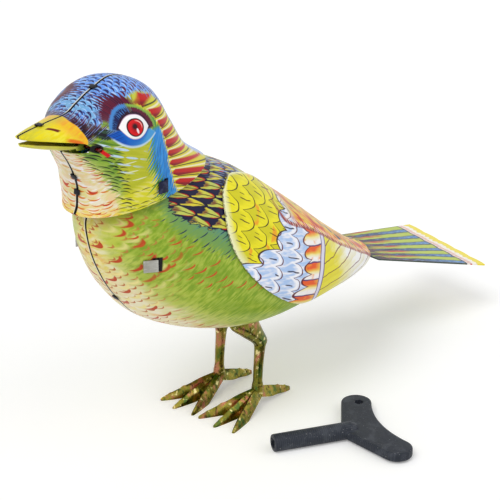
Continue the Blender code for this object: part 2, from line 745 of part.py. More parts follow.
def tail(parent):
    """Flat fan with a tongue into the rump, a hinge eye and a lever below the tongue."""
    edge = []
    for k in range(4 * TAIL_SCALLOPS + 1):
        share = k / (4 * TAIL_SCALLOPS)
        bulge = TAIL_SCALLOP_DEPTH * (abs(sin(pi * share * TAIL_SCALLOPS)) ** 0.7 - 1)
        edge.append((TAIL_LENGTH + bulge, TAIL_END_HALF * (2 * share - 1)))
    bore = TAIL_PIN_RADIUS + RUNNING
    root = bore + TAIL_BARREL_WALL / 2
    shoulder = TAIL_TONGUE_LENGTH + 3.5
    outline = [(root, -TAIL_TONGUE_HALF), (TAIL_TONGUE_LENGTH, -TAIL_TONGUE_HALF),
               (shoulder, -TAIL_ROOT_HALF), *edge, (shoulder, TAIL_ROOT_HALF),
               (TAIL_TONGUE_LENGTH, TAIL_TONGUE_HALF), (root, TAIL_TONGUE_HALF)]
    fan = plate_mesh(outline, [], -TAIL_SHEET / 2, TAIL_SHEET / 2)
    bmesh.ops.transform(fan, matrix=tail_matrix(), verts=fan.verts)
    item = make_object("tail", fan, "tail_tin", parent, (TAIL_PIVOT[0], 0, TAIL_PIVOT[1]))
    barrel = plate_mesh(circle(TAIL_PIVOT, bore + TAIL_BARREL_WALL, 12), [circle(TAIL_PIVOT, bore, 12)],
                        -TAIL_BARREL_HALF, TAIL_BARREL_HALF)
    join(item, make_object("tail_barrel_body", barrel, None, parent))
    eye = tail_lever_eye()
    lever = [(TAIL_PIVOT[0] - 1.5, TAIL_PIVOT[1] - 1.2), (TAIL_PIVOT[0] + 1.5, TAIL_PIVOT[1] - 1.2),
             (eye[0] + 1.3, eye[1] - 1.2), (eye[0] - 1.3, eye[1] - 1.2)]
    tab = plate_mesh(lever, [circle(eye, ROD_RADIUS + ROD_SLIP, 8)], -0.35, 0.35)
    join(item, make_object("tail_lever_body", tab, None, parent))
    return item


def tail_lever_eye():
    """Centre of the eye that the tail's rod hooks into."""
    return (TAIL_PIVOT[0], TAIL_PIVOT[1] - TAIL_LEVER)


def tail_pivot_pin(parent):
    """Cross wire inside the rump, from wall to wall."""
    reach = reach_inside(BODY_SECTIONS, BODY_WALL, TAIL_PIVOT, TAIL_PIN_RADIUS) - SEAT
    profile = [(-reach, TAIL_PIN_RADIUS), (reach, TAIL_PIN_RADIUS)]
    return make_object("tail_pivot_pin", pin_mesh(TAIL_PIVOT, profile, 10), "arbor_steel", parent,
                       (TAIL_PIVOT[0], 0, TAIL_PIVOT[1]))


def leg_mesh(side, swell=0.0):
    """Thigh and shank as one smooth form of upright sections."""
    bm = bmesh.new()
    rings = []
    for t in spread(0, len(LEG_SECTIONS) - 1, 2 * len(LEG_SECTIONS) - 1):
        x, z, half_x, half_y = catmull(LEG_SECTIONS, t)
        rings.append([bm.verts.new((x + (half_x + swell) * cos(2 * pi * k / LEG_SIDES),
                                    side * LEG_Y + (half_y + swell) * sin(2 * pi * k / LEG_SIDES), z))
                      for k in range(LEG_SIDES)])
    for ring, following in zip(rings, rings[1:]):
        for k in range(LEG_SIDES):
            n = (k + 1) % LEG_SIDES
            bm.faces.new((ring[k], ring[n], following[n], following[k]))
    bm.faces.new(rings[0])
    bm.faces.new(rings[-1])
    return bm


def toe_mesh(ankle, tip, sections):
    """Roof-shaped toe from the ankle to its tip."""
    run = Vector((tip[0] - ankle[0], tip[1] - ankle[1], 0))
    across = Vector((-run.y, run.x, 0)).normalized()
    bm = bmesh.new()
    rings = []
    for share, ridge, sole, half in sections:
        centre = Vector((ankle[0], ankle[1], 0)) + run * share
        shoulder = sole + 0.72 * (ridge - sole)
        narrow = 0.55 * half
        corners = ((-half, sole), (half, sole), (narrow, shoulder), (0, ridge), (-narrow, shoulder))
        rings.append([bm.verts.new(centre + across * v + Vector((0, 0, z))) for v, z in corners])
    for ring, following in zip(rings, rings[1:]):
        for k in range(5):
            n = (k + 1) % 5
            bm.faces.new((ring[k], ring[n], following[n], following[k]))
    bm.faces.new(rings[0])
    bm.faces.new(rings[-1])
    return bm


def leg(side, word, parent):
    """One pressed leg: thigh with its lug, shank, three front toes and a back toe."""
    item = make_object(f"leg_{word}", leg_mesh(side), "leg_plate", parent)
    ankle = (ANKLE[0], side * LEG_Y)
    toes = [((x, side * (LEG_Y - y)), TOE_SECTIONS) for x, y in TOE_TIPS]
    toes.append(((BACK_TOE_TIP[0], side * LEG_Y), BACK_TOE_SECTIONS))
    for index, (tip, sections) in enumerate(toes):
        toe = toe_mesh(ankle, tip, sections)
        join(item, make_object(f"toe_{word}_{index}_body", toe, None, parent))
    join(item, make_object(f"leg_lug_{word}_body", leg_lug_mesh(side), None, parent))
    return item


def leg_lug_mesh(side, swell=0.0):
    """Upright lug that lies against the motor's plate."""
    outside = PLATE_INSIDE - SEAT
    low, high = sorted((side * (outside - LEG_LUG_SHEET - swell), side * (outside + swell)))
    return box_mesh((LEG_LUG_X[0] - swell, low, LEG_SECTIONS[0][1] - 2.0 - swell),
                    (LEG_LUG_X[1] + swell, high, LEG_LUG_TOP))


def key_outline():
    """Outline of the key's finger plate: straight front edges, round lobes, hollow back."""
    half_plate = [(2.2, KEY_TUBE_RADIUS - 0.6)]
    for bearing in spread(*KEY_WING_BEARINGS, 11):
        half_plate.append((-KEY_WING_BACK + KEY_WING_RADIUS * cos(radians(bearing)),
                           KEY_WING_SPAN + KEY_WING_RADIUS * sin(radians(bearing))))
    edge_x, edge_v = half_plate[-1]
    for share in (0.8, 0.6, 0.4, 0.2):
        half_plate.append((-KEY_WAIST + (edge_x + KEY_WAIST) * share ** 2, edge_v * share))
    return half_plate + [(-KEY_WAIST, 0.0)] + [(x, -v) for x, v in reversed(half_plate)]


def winding_key(parent):
    """Moulded key: round tube with a square socket and a swept-back finger plate."""
    axis_z = KEY_TUBE_RADIUS
    placing = (Matrix.Translation((KEY_JUNCTION[0], KEY_JUNCTION[1], axis_z))
               @ Matrix.Rotation(radians(KEY_HEADING), 4, "Z"))
    hole = circle((KEY_STRING_HOLE_AT[0], -KEY_STRING_HOLE_AT[1]), KEY_STRING_HOLE, 12)
    plate = plate_mesh(key_outline(), [hole], -KEY_PLATE / 2, KEY_PLATE / 2)
    flat = Matrix.Translation((0, 0, KEY_PLATE_Z - axis_z)) @ Matrix.Rotation(radians(90), 4, "X")
    bmesh.ops.transform(plate, matrix=placing @ flat, verts=plate.verts)
    item = make_object("winding_key", plate, "key_plastic", parent, smooth_angle=40)
    bevel = item.modifiers.new("edge", "BEVEL")
    bevel.width = 0.5 * MM
    bevel.segments = 1
    bevel.limit_method = "ANGLE"
    bevel.angle_limit = radians(40)
    turned = placing @ Matrix.Rotation(radians(-90), 4, "Z")
    tube = pin_mesh((0, 0), [(-3.0, 0.5), (-1.6, KEY_TUBE_RADIUS * 0.8), (0, KEY_TUBE_RADIUS),
                             (KEY_TUBE_LENGTH - 0.5, KEY_TUBE_RADIUS),
                             (KEY_TUBE_LENGTH, KEY_TUBE_RADIUS - 0.5)], 20)
    bmesh.ops.transform(tube, matrix=turned, verts=tube.verts)
    join(item, make_object("key_tube_body", tube, None, parent))
    half = KEY_SQUARE / 2
    socket = box_mesh((-half, KEY_TUBE_LENGTH - KEY_SOCKET_DEPTH, -half), (half, KEY_TUBE_LENGTH + 2, half))
    bmesh.ops.transform(socket, matrix=turned, verts=socket.verts)
    cut(item, make_object("key_socket_cutter", socket, None, parent))
    return item


def motor_frame(parent):
    """Two plates with their breast lugs, and the pillars between them."""
    holes = [(SPRING_AXIS, WINDING_ARBOR_RADIUS), (SECOND_AXIS, ARBOR_RADIUS), (CRANK_AXIS, ARBOR_RADIUS),
             (GOVERNOR_AXIS, ARBOR_RADIUS)]
    for side, word in ((-1, "left"), (1, "right")):
        bores = [circle(centre, radius + RUNNING, 12) for centre, radius in holes]
        bores += [circle(centre, PILLAR_NECK + SEAT, 8) for centre in PILLARS]
        if side < 0:
            bores[0] = circle(SPRING_AXIS, ARBOR_RADIUS + RUNNING, 12)
            bores.append(circle(ROCKER_AXIS, ROCKER_STUD + SEAT, 10))
        low, high = sorted((side * PLATE_INSIDE, side * (PLATE_INSIDE + PLATE)))
        sheet = plate_mesh(PLATE_OUTLINE, bores, low, high)
        plate = make_object(f"motor_plate_{word}", sheet, "frame_steel", parent)
        path = lug_path(BODY_SECTIONS, BREAST_LUG, BREAST_LUG_START, PLATE, side)
        lug = strip_mesh(path, PLATE, BREAST_LUG[1] - LUG_WIDTH / 2, BREAST_LUG[1] + LUG_WIDTH / 2)
        join(plate, make_object(f"breast_lug_{word}_body", lug, None, parent))
    outer_face = PLATE_INSIDE + PLATE
    half = [(0.0, PILLAR_RADIUS), (PLATE_INSIDE - SEAT, PILLAR_RADIUS), (PLATE_INSIDE - SEAT, PILLAR_NECK),
            (outer_face + SEAT, PILLAR_NECK), (outer_face + SEAT, PILLAR_RADIUS),
            (outer_face + SEAT + 0.5, PILLAR_NECK)]
    profile = [(-y, radius) for y, radius in reversed(half[1:])] + half[1:]
    for centre, word in zip(PILLARS, PILLAR_WORDS):
        make_object(f"pillar_{word}", pin_mesh(centre, profile, 8), "arbor_steel", parent,
                    (centre[0], 0, centre[1]))


def gear(name, centre, module, teeth, phase, low_y, bore, parent, windows=0):
    """Flat toothed wheel on its arbor."""
    holes = [circle(centre, bore, 12)]
    pitch_radius = module * teeth / 2
    for k in range(windows):
        middle = step_from(centre, 0.6 * pitch_radius, 360 * k / windows + WINDOW_TURN)
        holes.append(circle(middle, 0.2 * pitch_radius, 8))
    bm = plate_mesh(gear_outline(centre, module, teeth, phase), holes, low_y, low_y + WHEEL)
    return make_object(name, bm, "wheel_brass", parent, (centre[0], 0, centre[1]), 25)


def arbor(name, centre, profile, pinion, parent):
    """Thin axle turned with its shoulders, and the pinion cut on it."""
    item = make_object(name, pin_mesh(centre, profile, 10), "arbor_steel", parent, (centre[0], 0, centre[1]))
    if pinion:
        module, teeth, phase, low_y, high_y = pinion
        leaves = plate_mesh(gear_outline(centre, module, teeth, phase), [], low_y, high_y)
        join(item, make_object(f"{name}_leaves_body", leaves, None, parent))
    return item


def gear_train(parent):
    """Great wheel, second wheel, crank wheel and governor, each with the pinion that drives it."""
    outer_face = PLATE_INSIDE + PLATE
    plain = [(-outer_face, ARBOR_RADIUS), (outer_face, ARBOR_RADIUS)]
    great_phase = SECOND_BEARING
    gear("great_wheel", SPRING_AXIS, GREAT_MODULE, GREAT_TEETH, great_phase, GREAT_Y,
         WINDING_ARBOR_RADIUS + RUNNING, parent, windows=5)
    second_phase = SECOND_BEARING + 180 + 180 / SECOND_PINION_TEETH
    arbor("second_arbor", SECOND_AXIS, plain,
          (GREAT_MODULE, SECOND_PINION_TEETH, second_phase, GREAT_Y - 1.0, SECOND_Y - SEAT), parent)
    gear("second_wheel", SECOND_AXIS, SECOND_MODULE, SECOND_TEETH, CRANK_BEARING, SECOND_Y,
         ARBOR_RADIUS + SEAT, parent, windows=4)
    crank_phase = CRANK_BEARING + 180 + 180 / CRANK_PINION_TEETH
    crank_end = -outer_face - SEAT - 1.1
    arbor("crank_arbor", CRANK_AXIS, [(crank_end, ARBOR_RADIUS), (outer_face, ARBOR_RADIUS)],
          (SECOND_MODULE, CRANK_PINION_TEETH, crank_phase, CRANK_Y + WHEEL + SEAT, SECOND_Y + WHEEL + 0.5),
          parent)
    gear("crank_wheel", CRANK_AXIS, GOVERNOR_MODULE, CRANK_TEETH, GOVERNOR_BEARING, CRANK_Y,
         ARBOR_RADIUS + SEAT, parent, windows=4)
    governor_phase = GOVERNOR_BEARING + 180 + 180 / GOVERNOR_PINION_TEETH
    arbor("governor_arbor", GOVERNOR_AXIS, plain,
          (GOVERNOR_MODULE, GOVERNOR_PINION_TEETH, governor_phase, CRANK_Y - 0.6, CRANK_Y + WHEEL + 0.6),
          parent)
    governor_fan(parent)


def governor_fan(parent):
    """Two-bladed air brake pressed on the fastest arbor."""
    x, z = GOVERNOR_AXIS
    hub = plate_mesh(circle(GOVERNOR_AXIS, ARBOR_RADIUS + SEAT + 0.7, 12),
                     [circle(GOVERNOR_AXIS, ARBOR_RADIUS + SEAT, 12)], FAN_Y, FAN_Y + FAN_LENGTH)
    item = make_object("governor_fan", hub, "frame_steel", parent, (x, 0, z))
    for sign, word in ((-1, "lower"), (1, "upper")):
        low, high = sorted((z + sign * (ARBOR_RADIUS + SEAT + 0.5), z + sign * FAN_RADIUS))
        blade = box_mesh((x - 0.25, FAN_Y + 0.3, low), (x + 0.25, FAN_Y + FAN_LENGTH - 0.3, high))
        join(item, make_object(f"fan_blade_{word}_body", blade, None, parent))
    return item


def winding_parts(parent):
    """Winding arbor, ratchet, click with its spring, and the mainspring."""
    x, z = SPRING_AXIS
    outer_face = PLATE_INSIDE + PLATE
    profile = [(-outer_face, ARBOR_RADIUS), (-PLATE_INSIDE + SEAT, ARBOR_RADIUS),
               (-PLATE_INSIDE + SEAT, WINDING_ARBOR_RADIUS), (outer_face + 2, WINDING_ARBOR_RADIUS)]
    item = make_object("winding_arbor", pin_mesh(SPRING_AXIS, profile, 12), "arbor_steel", parent, (x, 0, z))
    half = WINDING_SQUARE / 2
    square = box_mesh((x - half, outer_face + 1, z - half), (x + half, ARBOR_END_Y, z + half))
    join(item, make_object("winding_square_body", square, None, parent))

    ratchet_y = GREAT_Y + WHEEL + SEAT
    pitch = 360 / RATCHET_TEETH
    saw = []
    for k in range(RATCHET_TEETH):
        bearing = CLICK_BEARING + pitch * k
        saw.append(step_from(SPRING_AXIS, RATCHET_RADIUS, bearing))
        saw.append(step_from(SPRING_AXIS, RATCHET_RADIUS - RATCHET_DEPTH, bearing + 1.5))
    bore = circle(SPRING_AXIS, WINDING_ARBOR_RADIUS + SEAT, 12)
    ratchet = plate_mesh(saw, [bore], ratchet_y, ratchet_y + WHEEL)
    make_object("ratchet_wheel", ratchet, "arbor_steel", parent, (x, 0, z), 25)

    turn = Matrix.Rotation(radians(CLICK_BEARING), 2)
    outline = [Vector(SPRING_AXIS) + turn @ Vector(point) for point in CLICK_OUTLINE]
    pivot = Vector(SPRING_AXIS) + turn @ Vector(CLICK_PIVOT)
    click = plate_mesh([tuple(point) for point in outline], [circle(pivot, CLICK_STUD + RUNNING, 8)],
                       ratchet_y, ratchet_y + WHEEL)
    make_object("click", click, "arbor_steel", parent, (pivot.x, 0, pivot.y), 25)
    stud = pin_mesh(pivot, [(GREAT_Y - 0.4, CLICK_STUD), (ratchet_y + WHEEL + SEAT, CLICK_STUD),
                            (ratchet_y + WHEEL + SEAT, CLICK_STUD + 0.5),
                            (ratchet_y + WHEEL + SEAT + 0.4, CLICK_STUD + 0.4)], 8)
    join(bpy.data.objects["great_wheel"], make_object("click_stud_body", stud, None, parent))

    foot, middle, end = [Vector(SPRING_AXIS) + turn @ Vector(point) for point in CLICK_SPRING]
    low_y = GREAT_Y + WHEEL + SEAT
    high_y = ratchet_y + WHEEL / 2
    spring = rod_mesh([(foot.x, low_y, foot.y), (foot.x, high_y, foot.y), (middle.x, high_y, middle.y),
                       (end.x, high_y, end.y)], 0.3)
    make_object("click_spring", spring, "spring_steel", parent, (x, 0, z))

    outer = []
    inner = []
    for k in range(int(MAINSPRING_TURNS * 16) + 1):
        share = k / (MAINSPRING_TURNS * 16)
        inner_radius = WINDING_ARBOR_RADIUS + SEAT
        radius = inner_radius + (MAINSPRING_RADIUS - inner_radius) * share
        bearing = MAINSPRING_START + 360 * MAINSPRING_TURNS * share
        row_in = step_from(SPRING_AXIS, radius, bearing)
        row_out = step_from(SPRING_AXIS, radius + MAINSPRING_STRIP, bearing)
        inner.append([(row_in[0], y, row_in[1]) for y in (MAINSPRING_Y, MAINSPRING_Y + MAINSPRING_WIDTH)])
        outer.append([(row_out[0], y, row_out[1]) for y in (MAINSPRING_Y, MAINSPRING_Y + MAINSPRING_WIDTH)])
    reach = hypot(PILLARS[0][0] - x, PILLARS[0][1] - z) - PILLAR_RADIUS - SEAT
    bearing = MAINSPRING_START + 360 * MAINSPRING_TURNS
    for step in range(1, 6):
        radius = MAINSPRING_RADIUS + (reach - MAINSPRING_STRIP - MAINSPRING_RADIUS) * step / 5
        row_in = step_from(SPRING_AXIS, radius, bearing + 11 * step)
        row_out = step_from(SPRING_AXIS, radius + MAINSPRING_STRIP, bearing + 11 * step)
        inner.append([(row_in[0], y, row_in[1]) for y in (MAINSPRING_Y, MAINSPRING_Y + MAINSPRING_WIDTH)])
        outer.append([(row_out[0], y, row_out[1]) for y in (MAINSPRING_Y, MAINSPRING_Y + MAINSPRING_WIDTH)])
    make_object("mainspring", grid_solid(outer, inner), "spring_steel", parent, (x, 0, z))


def crank_pin_centre():
    """Where the crank's pin stands at rest."""
    line = atan2(CRANK_AXIS[1] - ROCKER_AXIS[1], CRANK_AXIS[0] - ROCKER_AXIS[0])
    return step_from(CRANK_AXIS, CRANK_THROW, line * 180 / pi + CRANK_PHASE)


def rocker_parts(parent):
    """Crank disc with its pin, the rocking lever and the stud it turns on."""
    disc_high = -PLATE_INSIDE - PLATE - SEAT
    disc_low = disc_high - 1.0
    pin = crank_pin_centre()
    bore = circle(CRANK_AXIS, ARBOR_RADIUS + SEAT, 10)
    disc = plate_mesh(circle(CRANK_AXIS, CRANK_DISC_RADIUS, 20), [bore], disc_low, disc_high)
    item = make_object("crank_disc", disc, "wheel_brass", parent, (CRANK_AXIS[0], 0, CRANK_AXIS[1]))
    stem = pin_mesh(pin, [(ROCKER_Y + ROCKER_SHEET + SEAT, CRANK_PIN_RADIUS),
                          (disc_low + 0.5, CRANK_PIN_RADIUS)], 10)
    join(item, make_object("crank_pin_body", stem, None, parent))

    x, z = ROCKER_AXIS
    half = ROCKER_HALF
    bearing = atan2(pin[1] - z, pin[0] - x)
    forward = Vector((cos(bearing), sin(bearing)))
    upward = Vector((-forward.y, forward.x))
    centre = Vector((x, z))
    reach = hypot(pin[0] - x, pin[1] - z)

    def on_arm(along, across):
        return tuple(centre + forward * along + upward * across)

    low_z = WHISTLE_Z - 1.8
    wide = half + 0.7
    outline = [(x - half, z + BEAK_ROD_ARM + 1.8), (x - half, low_z), (x + half, low_z),
               (x + half, z - 6.5), on_arm(half + 1.5, -half), on_arm(reach - 4.5, -wide),
               on_arm(reach + 4.2, -wide), on_arm(BELLOWS_ARM + 1.2, -1.3), on_arm(BELLOWS_ARM + 1.2, 1.3),
               on_arm(reach + 4.2, wide), on_arm(reach - 4.5, wide), on_arm(half + 1.5, half),
               (x + half, z + 4.5), (x + half, z + BEAK_ROD_ARM + 1.8)]
    gap = CRANK_PIN_RADIUS + RUNNING
    slot = [on_arm(reach - 2.7, -gap), on_arm(reach + 2.7, -gap),
            on_arm(reach + 2.7, gap), on_arm(reach - 2.7, gap)]
    holes = [slot, circle(ROCKER_AXIS, ROCKER_STUD + RUNNING, 10)]
    for arm in (BEAK_ROD_ARM, TAIL_ROD_ARM):
        holes.append(circle((x, z + arm), ROD_RADIUS + ROD_SLIP, 8))
    lever = plate_mesh(outline, holes, ROCKER_Y, ROCKER_Y + ROCKER_SHEET)
    item = make_object("rocker_lever", lever, "frame_steel", parent, (x, 0, z))
    piston_pin = pin_mesh((x, WHISTLE_Z), [(ROCKER_Y + 0.4, CRANK_PIN_RADIUS), (1.4, CRANK_PIN_RADIUS)], 10)
    join(item, make_object("piston_pin_body", piston_pin, None, parent))
    bellows_pin = pin_mesh(on_arm(BELLOWS_ARM, 0), [(ROCKER_Y - 2.0, CRANK_PIN_RADIUS),
                                                    (ROCKER_Y + 0.4, CRANK_PIN_RADIUS)], 10)
    join(item, make_object("bellows_pin_body", bellows_pin, None, parent))

    outer_face = PLATE_INSIDE + PLATE
    stud = [(-PLATE_INSIDE + 0.4, ROCKER_STUD), (-PLATE_INSIDE + SEAT, ROCKER_STUD + 0.5),
            (-PLATE_INSIDE + SEAT, ROCKER_STUD), (-outer_face - SEAT, ROCKER_STUD),
            (-outer_face - SEAT, ROCKER_STUD + 0.7), (ROCKER_Y + ROCKER_SHEET + RUNNING, ROCKER_STUD + 0.7),
            (ROCKER_Y + ROCKER_SHEET + RUNNING, ROCKER_STUD), (ROCKER_Y - RUNNING, ROCKER_STUD),
            (ROCKER_Y - RUNNING, ROCKER_STUD + 0.6), (ROCKER_Y - RUNNING - 0.5, ROCKER_STUD + 0.4)]
    make_object("rocker_stud", pin_mesh(ROCKER_AXIS, stud, 10), "arbor_steel", parent, (x, 0, z))
    return on_arm(BELLOWS_ARM, 0)


def link_rods(parent):
    """Bent wires from the rocking lever to the lower beak and to the tail."""
    x, z = ROCKER_AXIS
    eye = beak_lever_eye()
    start = z + BEAK_ROD_ARM
    inside = ROCKER_Y + ROCKER_SHEET + 0.5
    beak_path = [(x, inside, start), (x, ROCKER_Y - 1.2, start), (x - 1.5, ROCKER_Y - 1.6, start + 0.9),
                 (-30.0, -12.5, 86.0), (-41.0, -8.5, 96.0), (-52.0, -6.0, 102.5),
                 (eye[0] + 1.5, BEAK_LEVER_Y - 1.6, eye[1] - 0.2), (eye[0], BEAK_LEVER_Y - 1.2, eye[1]),
                 (eye[0], BEAK_LEVER_Y + 1.0, eye[1])]
    make_object("beak_rod", rod_mesh(beak_path, ROD_RADIUS), "arbor_steel", parent)
    eye = tail_lever_eye()
    start = z + TAIL_ROD_ARM
    tail_path = [(x, inside, start), (x, ROCKER_Y - 2.2, start), (x + 1.2, ROCKER_Y - 3.0, start - 0.4),
                 (20.0, ROCKER_Y - 3.0, 50.5), (36.0, -11.0, 42.0), (eye[0] - 1.5, -2.6, eye[1] + 0.2),
                 (eye[0], -1.9, eye[1]), (eye[0], 1.2, eye[1])]
    make_object("tail_rod", rod_mesh(tail_path, ROD_RADIUS), "arbor_steel", parent)


def bellows_parts(parent, finger):
    """Fixed board, hinged board, leather, whistle tube and piston."""
    low_z = BELLOWS_BASE_Z
    top_z = low_z + BELLOWS_BOARD
    foot_half = PLATE_INSIDE - SEAT
    base = box_mesh((BELLOWS_FRONT, -BELLOWS_HALF, low_z), (BELLOWS_BACK, BELLOWS_HALF, top_z))
    item = make_object("bellows_base_board", base, "board_card", parent)
    foot = box_mesh((BELLOWS_FOOT_X, -foot_half, low_z), (BELLOWS_FRONT - 2.0, foot_half, top_z))
    neck = box_mesh((BELLOWS_FRONT - 3.0, -BELLOWS_HALF + 2, low_z),
                    (BELLOWS_FRONT + 1.0, BELLOWS_HALF - 2, top_z))
    join(item, make_object("bellows_foot_body", foot, None, parent),
         make_object("bellows_neck_body", neck, None, parent))

    hinge = (BELLOWS_BACK - BELLOWS_BOARD, top_z + SEAT)
    length = hinge[0] - BELLOWS_FRONT
    board = box_mesh((-length, -BELLOWS_HALF, 0), (0, BELLOWS_HALF, BELLOWS_BOARD))
    swing = Matrix.Translation((hinge[0], 0, hinge[1])) @ Matrix.Rotation(radians(BELLOWS_OPENING), 4, "Y")
    bmesh.ops.transform(board, matrix=swing, verts=board.verts)
    item = make_object("bellows_top_board", board, "board_card", parent, (hinge[0], 0, hinge[1]))
    arm_y = ROCKER_Y - 1.1
    front_z = hinge[1] + length * sin(radians(BELLOWS_OPENING))
    front_x = hinge[0] - length * cos(radians(BELLOWS_OPENING))
    strip = box_mesh((front_x + 0.6, arm_y, front_z - 1.0),
                     (front_x + 4.0, -BELLOWS_HALF + 0.6, front_z + 0.1))
    eye_x, eye_z = finger
    ear = [(front_x + 4.0, front_z - 1.0), (front_x + 4.0, front_z + 0.1), (eye_x + 2.0, eye_z + 2.6),
           (eye_x - 2.6, eye_z + 2.6), (eye_x - 2.6, eye_z - 2.4), (eye_x + 2.4, eye_z - 2.4)]
    hole = circle(finger, CRANK_PIN_RADIUS + BELLOWS_PIN_SLIP, 10)
    ear_plate = plate_mesh(ear, [hole], arm_y - 0.6, arm_y)
    join(item, make_object("bellows_arm_body", strip, None, parent),
         make_object("bellows_ear_body", ear_plate, None, parent))

    inset = 1.0
    slope = sin(radians(BELLOWS_OPENING)) / cos(radians(BELLOWS_OPENING))
    ceiling = hinge[1] - SEAT / cos(radians(BELLOWS_OPENING))
    mouth_x = BELLOWS_FRONT + inset + 0.6
    wedge = [(mouth_x, top_z + SEAT), (mouth_x, ceiling + slope * (hinge[0] - mouth_x)),
             (hinge[0] - 3.5, ceiling + slope * 3.5), (hinge[0] - 3.5, top_z + SEAT)]
    skin = plate_mesh(wedge, [], -BELLOWS_HALF + inset, BELLOWS_HALF - inset)
    make_object("bellows_skin", skin, "bellows_leather", parent)

    along_x = Matrix.Translation((0, 0, WHISTLE_Z)) @ Matrix.Rotation(radians(-90), 4, "Z")
    bore = WHISTLE_RADIUS - WHISTLE_WALL
    first, last = WHISTLE_SPAN
    tube = pin_mesh((0, 0), [(first, WHISTLE_RADIUS), (last, WHISTLE_RADIUS)], 16)
    bmesh.ops.transform(tube, matrix=along_x, verts=tube.verts)
    item = make_object("whistle_tube", tube, "whistle_brass", parent)
    core = pin_mesh((0, 0), [(first - 1, bore), (last - 1.5, bore)], 16)
    bmesh.ops.transform(core, matrix=along_x, verts=core.verts)
    lip = box_mesh((last - 8.0, -1.5, WHISTLE_Z - WHISTLE_RADIUS - 1),
                   (last - 5.5, 1.5, WHISTLE_Z - 1.5))
    cut(item, make_object("whistle_bore_cutter", core, None, parent),
        make_object("whistle_lip_cutter", lip, None, parent))
    rear, head = PISTON_SPAN
    piston = pin_mesh((0, 0), [(ROCKER_AXIS[0] + 2.0, PISTON_ROD_RADIUS), (rear, PISTON_ROD_RADIUS),
                               (rear, bore - RUNNING), (head, bore - RUNNING)], 12)
    bmesh.ops.transform(piston, matrix=along_x, verts=piston.verts)
    item = make_object("whistle_piston", piston, "whistle_brass", parent)
    eye = plate_mesh(circle((ROCKER_AXIS[0], WHISTLE_Z), 2.3, 12),
                     [circle((ROCKER_AXIS[0], WHISTLE_Z), CRANK_PIN_RADIUS + SLIP, 10)], -0.5, 0.5)
    join(item, make_object("piston_eye_body", eye, None, parent))


def build():
    """Make every piece and stand the whole on its box's middle."""
    clear_scene()
    frame = bpy.data.objects.new("bird_frame", None)
    bpy.context.scene.collection.objects.link(frame)
    shells = body_shells(frame)
    head_shells(frame)
    lower_beak(frame)
    beak_hinge_pin(frame)
    tail(frame)
    tail_pivot_pin(frame)
    for side, word in ((-1, "left"), (1, "right")):
        wing(side, word, frame)
        leg(side, word, frame)
        hole = make_object(f"leg_hole_{word}_cutter", leg_mesh(side, LEG_HOLE_GAP), None, frame)
        slot = make_object(f"leg_slot_{word}_cutter", leg_lug_mesh(side, LEG_HOLE_GAP), None, frame)
        cut(shells[side], hole, slot)
    motor_frame(frame)
    gear_train(frame)
    winding_parts(frame)
    finger = rocker_parts(frame)
    link_rods(frame)
    bellows_parts(frame, finger)
    winding_key(frame)
    centre_on_box(frame)


def centre_on_box(frame):
    """Move the whole so that the origin is in the middle of its box, at the floor."""
    bpy.context.view_layer.update()
    graph = bpy.context.evaluated_depsgraph_get()
    corners = []
    for item in bpy.data.objects:
        if item.type == "MESH" and not item.hide_render:
            solid = item.evaluated_get(graph)
            corners += [solid.matrix_world @ Vector(corner) for corner in solid.bound_box]
    for axis in (0, 1):
        values = [corner[axis] for corner in corners]
        frame.location[axis] -= (min(values) + max(values)) / 2
    frame.location[2] -= min(corner[2] for corner in corners)


build()
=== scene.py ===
"""Looks of the clockwork tin singing bird: fine pressed shells with printed plumage, legs and key.

Lengths are millimetres in the bird's own frame until a mesh is made: the bird faces -X, its left
side is -Y and its midplane is y = 0. A shell point is named by t, its place along the sections,
and by a, its place round a section from the top (0) to the bottom (1).
"""
from math import cos, hypot, pi, radians, sin

import bmesh
import bpy
import numpy as np
from mathutils import Matrix, Vector


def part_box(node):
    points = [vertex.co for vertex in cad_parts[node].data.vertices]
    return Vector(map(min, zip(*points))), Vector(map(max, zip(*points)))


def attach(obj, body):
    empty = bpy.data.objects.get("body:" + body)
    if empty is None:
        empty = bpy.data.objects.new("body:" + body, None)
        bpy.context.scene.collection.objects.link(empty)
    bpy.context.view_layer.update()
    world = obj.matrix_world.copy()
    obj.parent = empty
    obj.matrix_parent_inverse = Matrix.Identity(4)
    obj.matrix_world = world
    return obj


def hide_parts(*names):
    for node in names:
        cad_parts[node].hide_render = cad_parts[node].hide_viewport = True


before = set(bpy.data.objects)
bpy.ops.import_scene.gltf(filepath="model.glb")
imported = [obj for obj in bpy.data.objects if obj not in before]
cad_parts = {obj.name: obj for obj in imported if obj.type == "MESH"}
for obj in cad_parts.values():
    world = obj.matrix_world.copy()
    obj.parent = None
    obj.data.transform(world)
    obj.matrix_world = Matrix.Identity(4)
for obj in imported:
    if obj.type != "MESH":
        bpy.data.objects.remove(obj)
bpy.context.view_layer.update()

MM = 0.001

# Fits and sheet, as in the frame
SEAM = 0.3
SEAT = 0.3
RUNNING = 0.3
SHEET = 0.5
SECTION_POWER = 2.15

# How far cutters reach: past a wall, across the head, across the lower beak and across the tail
CUT_PAST = 3.0
HEAD_CUT = 16.0
BEAK_CUT = 9.0
TAIL_CUT = 6.0

